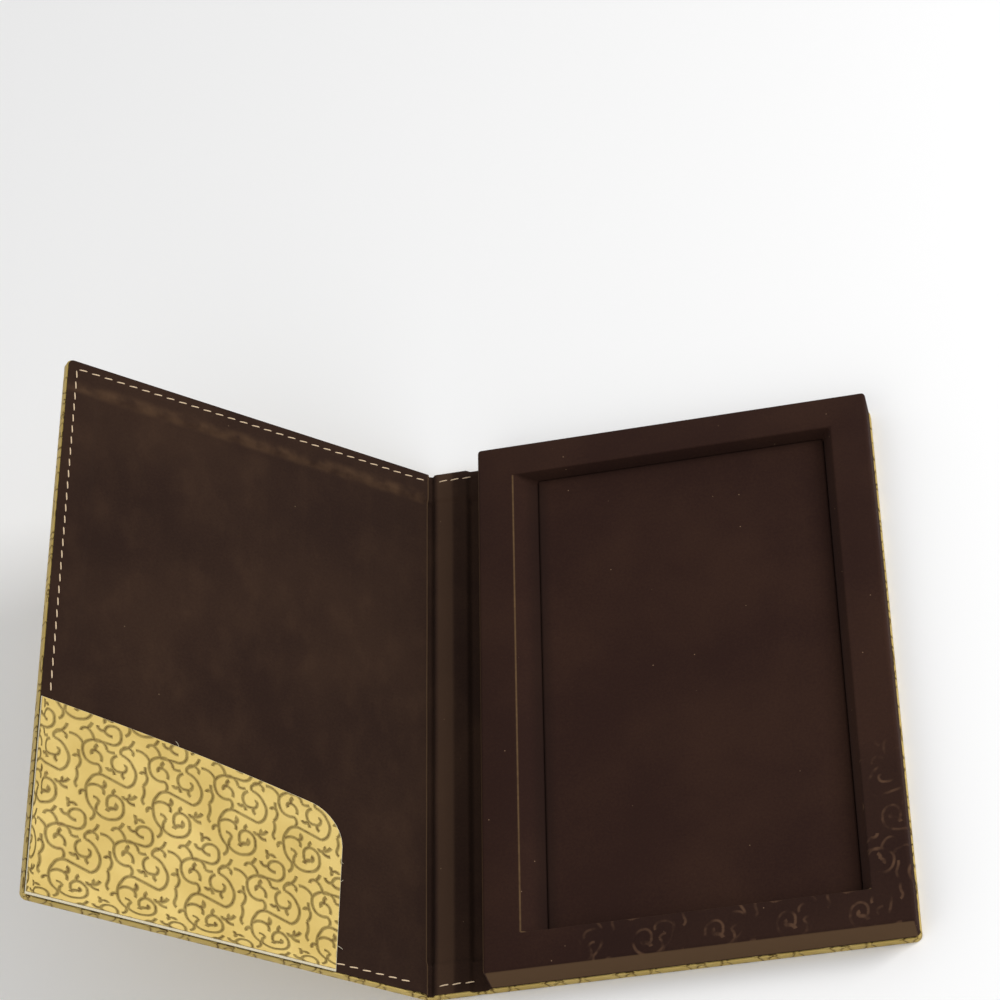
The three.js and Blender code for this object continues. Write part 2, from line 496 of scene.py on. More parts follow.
    def bump(self, height: Signal, strength: float, distance: float) -> bpy.types.NodeSocket:
        """Turns a height into a normal.

        Args:
            height: The height, as a share of the distance.
            strength: How much of it shows.
            distance: The height of 1, in millimetres.

        Returns:
            The normal socket.
        """
        made = self.node(
            "ShaderNodeBump", {}, {"Height": height, "Strength": strength, "Distance": distance * MM}
        )
        return made.outputs["Normal"]

    def dress(self, **inputs: Value) -> bpy.types.Material:
        """Sets or links the shader's sockets, with underlines for spaces.

        Returns:
            The finished material.
        """
        for key, value in inputs.items():
            socket = self.shader.inputs[key.replace("_", " ")]
            if isinstance(value, Signal):
                self.tree.links.new(value.socket, socket)
            elif isinstance(value, bpy.types.NodeSocket):
                self.tree.links.new(value, socket)
            else:
                socket.default_value = value
        return self.material


# The embossed scroll, drawn on one tile


@dataclass(frozen=True)
class Arc:
    """Part of a circle: its centre and radius in millimetres, its middle direction and sweep in degrees."""

    x: float
    y: float
    radius: float
    middle: float
    sweep: float


@dataclass(frozen=True)
class Curl:
    """A curling line through points in millimetres, each two steps of which are one arc.

    A faint line is left out where the drawing is only pressed into velvet.
    """

    points: tuple[tuple[float, float], ...]
    extra: float = 0.0
    faint: bool = False

    def arcs(self) -> list[Arc]:
        """The arcs that follow the points."""
        triples = zip(self.points[0::2], self.points[1::2], self.points[2::2])
        return [self._through(first, middle, last) for first, middle, last in triples]

    @staticmethod
    def _through(first: tuple[float, float], middle: tuple[float, float], last: tuple[float, float]) -> Arc:
        """The arc from the first point to the last through the middle one."""
        start, end = Vector(first) - Vector(middle), Vector(last) - Vector(middle)
        turn = 2 * (start.x * end.y - start.y * end.x)
        turn = math.copysign(max(abs(turn), 0.1), turn)
        x = (end.y * start.length_squared - start.y * end.length_squared) / turn
        y = (start.x * end.length_squared - end.x * start.length_squared) / turn
        facing = math.degrees(math.atan2(-y, -x))
        turns = [math.degrees(math.atan2(arm.y - y, arm.x - x)) - facing for arm in (start, end)]
        turns = [(angle + 180) % 360 - 180 for angle in turns]
        sweep = abs(turns[0] - turns[1])
        return Arc(middle[0] + x, middle[1] + y, math.hypot(x, y), facing + sum(turns) / 2, sweep)


@dataclass(frozen=True)
class ScrollDrawing:
    """A repeating drawing of curling stems, in millimetres, with x to the right and y up."""

    pitch: float = 24.6
    row: float = 35.8
    shift: float = 10.8
    pressed: bool = False
    curls: tuple[Curl, ...] = (
        Curl((
            (7.3, 9.2), (3.4, 10.3), (-0.6, 11.4), (-3.9, 11.2), (-5.8, 9.1), (-7.1, 5.9),
            (-6.9, 2.8), (-5.8, -0.5), (-3.9, -2.6), (-3.6, -4.9), (-5.1, -6.7),
        )),
        Curl((
            (-3.5, -2.2), (-0.6, -4.5), (3.2, -4.5), (6.3, -2.4), (6.8, 0.9), (5.6, 3.9),
            (2.9, 4.9), (1.1, 3.6), (0.8, 1.5), (1.0, 0.0), (1.8, -0.9),
        )),
        Curl(((0.9, -1.9), (2.1, -0.5), (3.4, -0.3), (4.2, 0.6), (3.5, 1.6)), 0.22),
        Curl(((-6.8, 6.0), (-4.5, 7.2), (-2.0, 6.9), (-0.9, 6.0), (-0.8, 4.1))),
        Curl(((-1.8, 6.9), (-0.4, 7.8), (-1.2, 9.1)), 0.2, True),
        Curl(((-4.4, 2.4), (-2.9, 2.0), (-2.1, 0.7), (-2.9, -0.7), (-2.9, -2.5))),
        Curl(((2.9, 4.9), (2.7, 5.7), (3.5, 7.0)), 0.08, True),
        Curl(((-7.4, 3.7), (-8.5, 3.7), (-8.9, 1.9)), 0.08, True),
        Curl((
            (3.3, 20.5), (1.7, 19.0), (1.6, 16.6), (2.7, 14.9), (4.9, 14.6), (6.6, 15.2),
            (6.9, 16.4), (6.7, 17.2), (5.9, 17.4),
        )),
        Curl(((5.8, 14.7), (5.6, 13.4), (6.5, 12.3)), 0.08, True),
        Curl(((-0.2, 15.0), (0.5, 14.3), (1.7, 14.9)), 0.1, True),
        Curl(((1.7, 14.9), (2.3, 14.0), (2.8, 12.8)), 0.05, True),
        Curl((
            (4.8, 21.3), (7.5, 20.1), (9.4, 17.7), (10.5, 15.3), (10.3, 12.6), (9.2, 10.4), (7.3, 9.2),
        )),
        Curl(((4.8, 21.3), (4.5, 22.7), (5.5, 23.9), (7.7, 25.4), (9.0, 28.1)), 0.0, True),
        Curl(((5.1, 23.1), (6.6, 24.8), (8.1, 24.1), (9.0, 23.3), (8.7, 22.1))),
        Curl((
            (-9.3, 21.7), (-9.3, 18.9), (-8.1, 16.4), (-6.2, 15.3), (-3.6, 15.4), (-2.4, 13.9), (-2.9, 11.7),
        )),
        Curl(((-9.3, 21.7), (-7.4, 23.7), (-4.5, 24.7), (-1.8, 23.9), (-0.6, 21.6))),
        Curl(((-0.6, 21.6), (1.0, 21.2), (2.3, 21.5)), 0.0, True),
        Curl(((-4.0, 22.8), (-4.8, 21.7), (-4.7, 20.4), (-5.8, 20.0), (-5.8, 18.6)), 0.15),
        Curl(((-4.7, 20.4), (-2.8, 19.2), (-2.4, 16.6)), 0.0, True),
        Curl(((9.9, 24.7), (13.0, 24.2), (15.3, 21.7))),
        Curl((
            (13.8, 19.1), (14.0, 17.1), (14.7, 15.4), (14.5, 13.2), (13.4, 11.6), (14.0, 9.0),
            (13.6, 6.9), (13.5, 5.5), (14.3, 4.5),
        )),
        Curl(((12.2, 15.8), (12.9, 16.7), (14.1, 16.4)), 0.08, True),
        Curl(((6.4, 5.5), (7.3, 4.6), (8.1, 5.0)), 0.05, True),
        Curl(((8.1, 5.0), (8.8, 6.0), (8.4, 6.8)), 0.05, True),
        Curl(((8.1, 5.0), (9.8, 5.5), (11.1, 6.9)), 0.1, True),
        Curl(((7.9, 4.6), (9.1, 3.5), (10.9, 3.3)), 0.1, True),
        Curl((
            (14.6, -4.1), (17.2, -4.9), (18.0, -7.3), (17.4, -10.3), (14.7, -11.5), (11.5, -11.4),
            (8.3, -11.6), (7.6, -9.4), (6.0, -7.7), (4.3, -7.5), (3.3, -9.0),
        )),
        Curl(((5.7, -7.3), (6.6, -6.1), (7.2, -4.8)), 0.05, True),
        Curl(((9.2, -5.3), (10.1, -6.7), (11.7, -6.7), (12.9, -7.9), (14.9, -8.3)), 0.08),
        Curl(((12.0, -6.6), (12.8, -4.9), (14.6, -4.1)), 0.0, True),
        Curl(((11.3, -0.5), (11.7, -1.9), (12.5, -2.3), (13.5, -2.0), (14.4, -2.9)), 0.1, True),
        Curl(((11.9, -2.1), (11.6, -3.0), (11.9, -3.8)), 0.1, True),
    )

    @property
    def slant(self) -> float:
        """How far a row moves along for each millimetre of its height."""
        return self.shift / self.row

    def _cell(self, graph: Graph, sheared: bpy.types.NodeSocket, x: float, y: float) -> bpy.types.NodeSocket:
        """The place in the tile whose middle is at a point."""
        middle = (x - y * self.slant, y, 0.0)
        moved = graph.vector("SUBTRACT", sheared, middle).outputs["Vector"]
        high = (self.pitch / 2, self.row / 2, 1.0)
        low = (-self.pitch / 2, -self.row / 2, -1.0)
        return graph.vector("WRAP", moved, high, low).outputs["Vector"]

    def _along(
        self, graph: Graph, cell: bpy.types.NodeSocket, degrees: float
    ) -> tuple[Signal, Signal]:
        """Distances from the cell's middle along a direction and across it."""
        cosine, sine = math.cos(math.radians(degrees)), math.sin(math.radians(degrees))
        along = graph.dot(cell, (cosine, cosine * self.slant + sine, 0.0))
        across = graph.dot(cell, (-sine, -sine * self.slant + cosine, 0.0))
        return along, across

    def _arc_distance(self, graph: Graph, sheared: bpy.types.NodeSocket, arc: Arc) -> Signal:
        """Distance to an arc's line."""
        turn = math.radians(arc.middle)
        reach = arc.radius if arc.sweep < 180 else 0.0
        x = arc.x + reach * math.cos(turn)
        y = arc.y + reach * math.sin(turn)
        along, across = self._along(graph, self._cell(graph, sheared, x, y), arc.middle)
        if reach:
            along = along + reach
        length = (along * along).times_plus(1.0, across * across).root()
        outside = along.below(length * math.cos(math.radians(arc.sweep / 2)))
        return outside.times_plus(9.0, (length - arc.radius).size())

    def distance(self, graph: Graph, place: bpy.types.NodeSocket) -> Signal:
        """Distance to the nearest line of the drawing.

        Args:
            graph: The material's graph.
            place: Where it is read, in millimetres.

        Returns:
            The distance in millimetres.
        """
        drift = graph.dot(place, ALONG_Y) * (-self.slant)
        shove = graph.node("ShaderNodeCombineXYZ", {}, {0: drift}).outputs["Vector"]
        sheared = graph.vector("ADD", place, shove).outputs["Vector"]
        nearest: Signal | None = None
        for curl in self.curls:
            if self.pressed and curl.faint:
                continue
            for arc in curl.arcs():
                part = self._arc_distance(graph, sheared, arc)
                if curl.extra:
                    part = part - curl.extra
                nearest = part if nearest is None else nearest.least(part)
        return nearest


# Finishes


@dataclass(frozen=True)
class GoldLeatherette:
    """Antiqued gold leatherette, embossed with the scroll."""

    name: str = "gold_leatherette"
    gold: tuple[int, int, int] = (178, 153, 84)
    pale: tuple[int, int, int] = (190, 166, 98)
    rose: tuple[int, int, int] = (182, 146, 92)
    groove: tuple[int, int, int] = (86, 62, 24)
    grain: tuple[int, int, int] = (156, 128, 68)
    line_half: float = 0.2
    drawing: ScrollDrawing = field(default_factory=ScrollDrawing)

    def build(self) -> bpy.types.Material:
        """Builds the material."""
        graph = Graph(self.name)
        place = graph.unrolled()
        distance = self.drawing.distance(graph, place)
        wander = graph.noise(place, 1.1, 2.0)
        worn = distance + (wander - 0.5) * 0.3
        line = 1 - worn.fade(self.line_half - 0.14, self.line_half + 0.14)
        valley = 1 - distance.fade(0.0, self.line_half + 0.55)
        broad = graph.noise(place, 0.045, 3.0)
        patch = graph.noise(place, 0.16, 4.0, 0.6)
        grain = graph.noise(place, 2.6, 4.0, 0.6)
        ground = graph.blend(broad.fade(0.35, 0.7), linear(self.gold), linear(self.pale))
        ground = graph.blend(patch.fade(0.58, 0.8) * 0.45, ground, linear(self.rose))
        ground = graph.blend(grain.fade(0.55, 0.85) * 0.22, ground, linear(self.grain))
        depth = line * (0.5 + 0.42 * graph.noise(place, 0.4, 2.0).fade(0.3, 0.7))
        colour = graph.blend(depth, ground, linear(self.groove))
        height = (1 - valley) + (grain - 0.5) * 0.07
        rough = 0.5 + 0.2 * line + 0.12 * (grain - 0.5)
        return graph.dress(
            Base_Color=colour,
            Roughness=rough,
            Metallic=0.35,
            Specular_IOR_Level=0.25,
            Normal=graph.bump(height, 1.0, 0.5),
        )


@dataclass(frozen=True)
class SuedeLining:
    """Short brown nap of the lining."""

    name: str = "suede_lining"
    dark: tuple[int, int, int] = (40, 26, 20)
    light: tuple[int, int, int] = (62, 44, 32)
    dust: tuple[int, int, int] = (112, 92, 72)
    turn_in_lit: tuple[int, int, int] = (84, 62, 44)
    fold_lit: tuple[int, int, int] = (96, 74, 52)
    spine_painted_light: tuple[int, int, int] = (78, 58, 44)
    spine_line: float = -12.2
    fold_line: float = 2.5

    def build(self) -> bpy.types.Material:
        """Builds the material."""
        graph = Graph(self.name)
        place = graph.unrolled()
        clouds = graph.noise(place, 0.018, 3.0, 0.55)
        strokes = graph.noise(place, 0.09, 4.0, 0.6, (1.0, 0.55, 1.0))
        nap = graph.noise(place, 1.0, 4.0, 0.75)
        fibre = graph.noise(place, 5.5, 2.0, 0.6)
        shade = clouds.fade(0.3, 0.72) * 0.42 + strokes.fade(0.42, 0.78) * 0.3 + (nap - 0.5) * 0.8
        colour = graph.blend(shade, linear(self.dark), linear(self.light))
        # Painted highlight: a paler band on the raised edge where the skin is turned in at the head.
        colour = graph.blend(self._turn_in_highlight(graph, place), colour, linear(self.turn_in_lit))
        # Painted highlight: a thin pale line on the fold's ridge.
        colour = graph.blend(self._fold_highlight(graph, place), colour, linear(self.fold_lit))
        # Painted light: the lining is lighter along the spine's middle, lifting the shade that lies there.
        off_middle = (graph.dot(place, ALONG_X) - self.spine_line).size()
        colour = graph.blend((1 - off_middle.fade(2.2, 3.8)) * 0.5, colour, linear(self.spine_painted_light))
        lint = graph.specks(place, 0.14, 0.28, 0.045)
        colour = graph.blend(lint * 0.7, colour, linear(self.dust))
        height = nap * 0.6 + fibre * 0.4
        return graph.dress(
            Base_Color=colour,
            Roughness=0.95,
            Specular_IOR_Level=0.1,
            Normal=graph.bump(height, 0.5, 0.12),
        )

    def _fold_highlight(self, graph: Graph, place: bpy.types.NodeSocket) -> Signal:
        """The painted highlight: a thin pale line on the ridge where the front cover's board ends at the
        fold.

        Args:
            graph: The material's graph.
            place: Where it is read, in millimetres.

        Returns:
            How strong the painted highlight is, from 0 to 1.
        """
        sizes = FolderSizes()
        outward = -sizes.spine_width - graph.dot(place, ALONG_X)
        off = (outward - self.fold_line).size()
        patches = graph.noise(place, 0.2, 2.0)
        return (1 - off.fade(0.15, 0.5)) * (0.35 + 0.4 * patches)

    def _turn_in_highlight(self, graph: Graph, place: bpy.types.NodeSocket) -> Signal:
        """The painted highlight: a paler band of nap over the skin's turned-in edge at the head.

        Args:
            graph: The material's graph.
            place: Where it is read, in millimetres.

        Returns:
            How strong the painted highlight is, from 0 to 1.
        """
        sizes = FolderSizes()
        upward = graph.dot(place, ALONG_Y)
        inner = sizes.half_height - sizes.turn_in
        band = upward.fade(inner - 3.5, inner - 0.5) * (1 - upward.fade(inner + 0.5, inner + 4.5))
        outward = -sizes.spine_width - graph.dot(place, ALONG_X)
        patches = graph.noise(place, 0.12, 3.0)
        return band * patches.fade(0.3, 0.72) * outward.fade(2.0, 6.0) * 0.62


@dataclass(frozen=True)
class TrayVelvet:
    """Dark brown velvet with the pocket's scroll pressed into the rim it lies against."""

    name: str = "tray_velvet"
    dark: tuple[int, int, int] = (42, 25, 20)
    light: tuple[int, int, int] = (58, 38, 28)
    mark: tuple[int, int, int] = (98, 72, 54)
    dust: tuple[int, int, int] = (150, 122, 96)
    flattened: tuple[int, int, int] = (32, 20, 17)
    lip_lit: tuple[int, int, int] = (112, 88, 60)
    shade: tuple[int, int, int] = (28, 17, 13)
    foot_wall_lit: tuple[int, int, int] = (94, 72, 50)
    drawing: ScrollDrawing = field(default_factory=lambda: ScrollDrawing(pressed=True))

    def build(self) -> bpy.types.Material:
        """Builds the material."""
        graph = Graph(self.name)
        place = graph.place()
        clouds = graph.noise(place, 0.022, 3.0, 0.55)
        nap = graph.noise(place, 1.0, 4.0, 0.75)
        fibre = graph.noise(place, 5.0, 2.0, 0.6)
        shade = clouds.fade(0.3, 0.74) * 0.5 + (nap - 0.5) * 1.1
        colour = graph.blend(shade, linear(self.dark), linear(self.light))
        pressed = self._pressed(graph, place)
        colour = graph.blend(pressed * 0.3, colour, linear(self.flattened))
        line = 1 - self._mirrored(graph, place).fade(0.15, 0.75)
        patch = graph.noise(place, 0.13, 3.0).fade(0.42, 0.66)
        colour = graph.blend(line * pressed * patch * 0.62, colour, linear(self.mark))
        # Painted highlight along the recess's lip and the tray's upper hinge-side edge.
        colour = graph.blend(self._lip_highlight(graph, place), colour, linear(self.lip_lit))
        # Painted shade in the valley where the long slope meets the pad.
        colour = graph.blend(self._valley_painted_shade(graph, place) * 0.5, colour, linear(self.shade))
        # Painted light: the tray's outer foot wall is lighter, as that face takes the light.
        upward = graph.dot(place, ALONG_Y)
        wall = 1 - upward.fade(-TraySizes().half + 0.02, -TraySizes().half + 0.3)
        colour = graph.blend(wall * 0.75, colour, linear(self.foot_wall_lit))
        lint = graph.specks(place, 0.2, 0.36, 0.055)
        colour = graph.blend(lint * 0.7, colour, linear(self.dust))
        height = nap * 0.6 + fibre * 0.4 - line * pressed * 0.5
        return graph.dress(
            Base_Color=colour,
            Roughness=0.95,
            Specular_IOR_Level=0.1,
            Normal=graph.bump(height, 0.5, 0.14),
        )

    def _pressed(self, graph: Graph, place: bpy.types.NodeSocket) -> Signal:
        """Where the shut pocket lies against the tray's rim.

        Args:
            graph: The material's graph.
            place: Where it is read, in millimetres.

        Returns:
            1 where the rim is pressed, and 0 elsewhere.
        """
        sizes = FolderSizes()
        across = graph.dot(place, ALONG_X) + sizes.cover_width / 2
        upward = graph.dot(place, ALONG_Y) + sizes.half_height
        over = graph.dot(place, ALONG_Z)
        inside = across.fade(36.0, 44.0)
        under = 1 - upward.fade(60.0, 76.0)
        top = over.fade(13.4, 14.2)
        return inside * under * top

    def _valley_painted_shade(self, graph: Graph, place: bpy.types.NodeSocket) -> Signal:
        """The painted shade where the recess's long slope meets the pad.

        Args:
            graph: The material's graph.
            place: Where it is read, in millimetres.

        Returns:
            How strong the painted shade is, from 0 to 1.
        """
        tray = TraySizes()
        across = graph.dot(place, ALONG_X) + FolderSizes().cover_width / 2
        upward = graph.dot(place, ALONG_Y).size()
        foot = tray.near + tray.hinge_rim + tray.hinge_slope
        half = tray.half - tray.end_rim
        return (1 - (across - foot).size().fade(0.6, 5.5)) * (1 - upward.fade(half - 4, half))

    def _lip_highlight(self, graph: Graph, place: bpy.types.NodeSocket) -> Signal:
        """The painted highlight: a thin pale line along the recess's lip, on the hinge side and at the foot,
        and a fainter one along the tray's upper outer edge on the hinge side.

        Args:
            graph: The material's graph.
            place: Where it is read, in millimetres.

        Returns:
            How strong the painted highlight is, from 0 to 1.
        """
        tray = TraySizes()
        across = graph.dot(place, ALONG_X) + FolderSizes().cover_width / 2
        upward = graph.dot(place, ALONG_Y)
        over = graph.dot(place, ALONG_Z)
        near, far = tray.near + tray.hinge_rim, tray.far - tray.fore_rim
        half = tray.half - tray.end_rim
        beside = 1 - (across - near - 0.15).size().fade(0.12, 0.42)
        beside = beside * (1 - upward.size().fade(half - 0.3, half))
        below = 1 - (upward + half - 0.15).size().fade(0.12, 0.42)
        middle, reach = (near + far) / 2, (far - near) / 2
        below = below * (1 - (across - middle).size().fade(reach - 0.3, reach))
        edge = (1 - (across - tray.near - 0.2).size().fade(0.1, 0.5)) * 0.45
        patches = graph.noise(place, 0.5, 2.0)
        return beside.most(below).most(edge) * over.fade(12.8, 13.6) * (0.3 + 0.5 * patches)

    def _mirrored(self, graph: Graph, place: bpy.types.NodeSocket) -> Signal:
        """Distance to the scroll as the shut pocket prints it."""
        sizes = FolderSizes()
        turned = graph.vector("MULTIPLY", place, (-1.0, 1.0, 0.0)).outputs["Vector"]
        shut = -sizes.spine_width - sizes.cover_width / 2
        moved = graph.vector("ADD", turned, (shut, 0.0, 0.0)).outputs["Vector"]
        return self.drawing.distance(graph, moved)


@dataclass(frozen=True)
class PlainFinish:
    """A finish of one colour with a fine grain: thread, cloth backing or raw board."""

    name: str
    colour: tuple[int, int, int]
    shade: tuple[int, int, int]
    waves: float
    stretch: tuple[float, float, float] = (1.0, 1.0, 1.0)
    roughness: float = 0.85
    relief: float = 0.08

    def build(self) -> bpy.types.Material:
        """Builds the material."""
        graph = Graph(self.name)
        place = graph.place()
        grain = graph.noise(place, self.waves, 3.0, 0.6, self.stretch)
        colour = graph.blend(grain.fade(0.3, 0.7), linear(self.colour), linear(self.shade))
        return graph.dress(
            Base_Color=colour,
            Roughness=self.roughness + (grain - 0.5) * 0.1,
            Normal=graph.bump(grain, 0.5, self.relief),
        )


# Folding and mapping


class SheetMap:
    """The map of a flat sheet, in shares of a fixed span, so that a pattern follows it round edges."""

    NAME = "flat_sheet"
    SPAN = 400.0

    def __init__(self, sizes: FolderSizes) -> None:
        """Keeps the folder's sizes."""
        self.sizes = sizes

    def apply(self, obj: bpy.types.Object) -> None:
        """Gives a flat piece its map, from its own vertices in millimetres.

        Args:
            obj: The piece, still flat.
        """
        layer = obj.data.uv_layers.get(self.NAME) or obj.data.uv_layers.new(name=self.NAME)
        layer.active = True
        layer.active_render = True
        for loop in obj.data.loops:
            place = obj.data.vertices[loop.vertex_index].co / MM
            climb = max(0.0, place.z + self.sizes.skin)
            across, upward = place.x, place.y
            if abs(place.y) > self.sizes.half_height - 1.3:
                upward += math.copysign(climb, place.y)
            far_front = -self.sizes.spine_width - self.sizes.cover_width
            if place.x < far_front + 1.3:
                across -= climb
            if place.x > self.sizes.cover_width - 1.3:
                across += climb
            layer.data[loop.index].uv = (across / self.SPAN, upward / self.SPAN)
        for other in [x.name for x in obj.data.uv_layers if x.name != self.NAME]:
            obj.data.uv_layers.remove(obj.data.uv_layers[other])


class Fold:
    """Moves flat pieces to the open folder, with a soft bend at the front cover's hinge."""

    def __init__(self, sizes: FolderSizes) -> None:
        """Keeps the folder's sizes."""
        self.sizes = sizes

    def place(self, flat: Vector) -> Vector:
        """Where a point of the flat folder lies when it is open.

        Args:
            flat: The point in millimetres, with the back cover's hinge line at x = 0.

        Returns:
            The point in the row frame, in millimetres.
        """
        sizes = self.sizes
        run = -(flat.x + sizes.spine_width)
        full = math.radians(sizes.open_angle)
        reach = sizes.fold_reach
        if run <= -reach:
            line, turn = Vector((flat.x, 0.0, 0.0)), 0.0
        else:
            turn = full * min(1.0, (run + reach) / (2 * reach))
            radius = reach / math.tan(full / 2)
            start = Vector((-sizes.spine_width + reach, 0.0, 0.0))
            line = start + Vector((-math.sin(turn), 0.0, 1 - math.cos(turn))) * radius
            beyond = max(0.0, run - reach)
            line += Vector((-math.cos(turn), 0.0, math.sin(turn))) * beyond
        normal = Vector((math.sin(turn), 0.0, math.cos(turn)))
        moved = line + normal * flat.z
        moved.y = flat.y
        return moved + sizes.hinge_offset

    def apply(self, obj: bpy.types.Object) -> None:
        """Folds a finished flat piece into its place."""
        for vertex in obj.data.vertices:
            vertex.co = self.place(vertex.co / MM) * MM
        obj.data.update()


class Relief:
    """The height of the sheets over the hinge lines, in millimetres."""

    def __init__(self, sizes: FolderSizes) -> None:
        """Keeps the folder's sizes."""
        self.sizes = sizes

    def _over_board(self, x: float) -> float:
        """1 over a board and 0 in a hinge groove, softly."""
        sizes = self.sizes
        back = smooth(sizes.board_setback - 1.9, sizes.board_setback + 0.2, abs(x))
        front = smooth(1.0, 2.7, abs(x + sizes.spine_width))
        return min(back, front)

    def _edge_band(self, x: float, y: float) -> float:
        """1 over the skin's turned-in edge and 0 inside it, softly."""
        sizes = self.sizes
        across = abs(x + sizes.spine_width / 2) - sizes.spine_width / 2
        to_edge = min(sizes.half_height - abs(y), sizes.cover_width - across)
        return 1 - smooth(sizes.turn_in - 0.3, sizes.turn_in + 1.7, to_edge)

    def _seam(self, x: float, y: float) -> float:
        """How deep the seam pulls the lining down."""
        sizes = self.sizes
        across = abs(x + sizes.spine_width / 2) - sizes.spine_width / 2
        to_edge = min(sizes.half_height - abs(y), sizes.cover_width - across)
        return sizes.seam_depth * max(0.0, 1 - abs(to_edge - sizes.seam_inset) / sizes.seam_reach)

    def lining(self, x: float, y: float) -> float:
        """The lining's upper face at a point of the flat folder."""
        sizes = self.sizes
        board, band = self._over_board(x), self._edge_band(x, y)
        level = sizes.low_level + (sizes.high_level - sizes.low_level) * band
        groove = sizes.groove_level + sizes.groove_rise * band
        return groove + (level - groove) * board - self._seam(x, y)

    def flange(self, x: float) -> float:
        """The upper face of the skin turned in over the board."""
        sizes = self.sizes
        drop = sizes.flange_level - sizes.flange_groove_level
        return sizes.flange_groove_level + drop * self._over_board(x)

    def underside(self, x: float) -> float:
        """The skin's outer face, with a shallow groove along each hinge."""
        sizes = self.sizes
        near = min(abs(x), abs(x + sizes.spine_width))
        return -sizes.skin + sizes.outside_groove * (1 - smooth(0.3, 2.6, near))


# Covers and spine


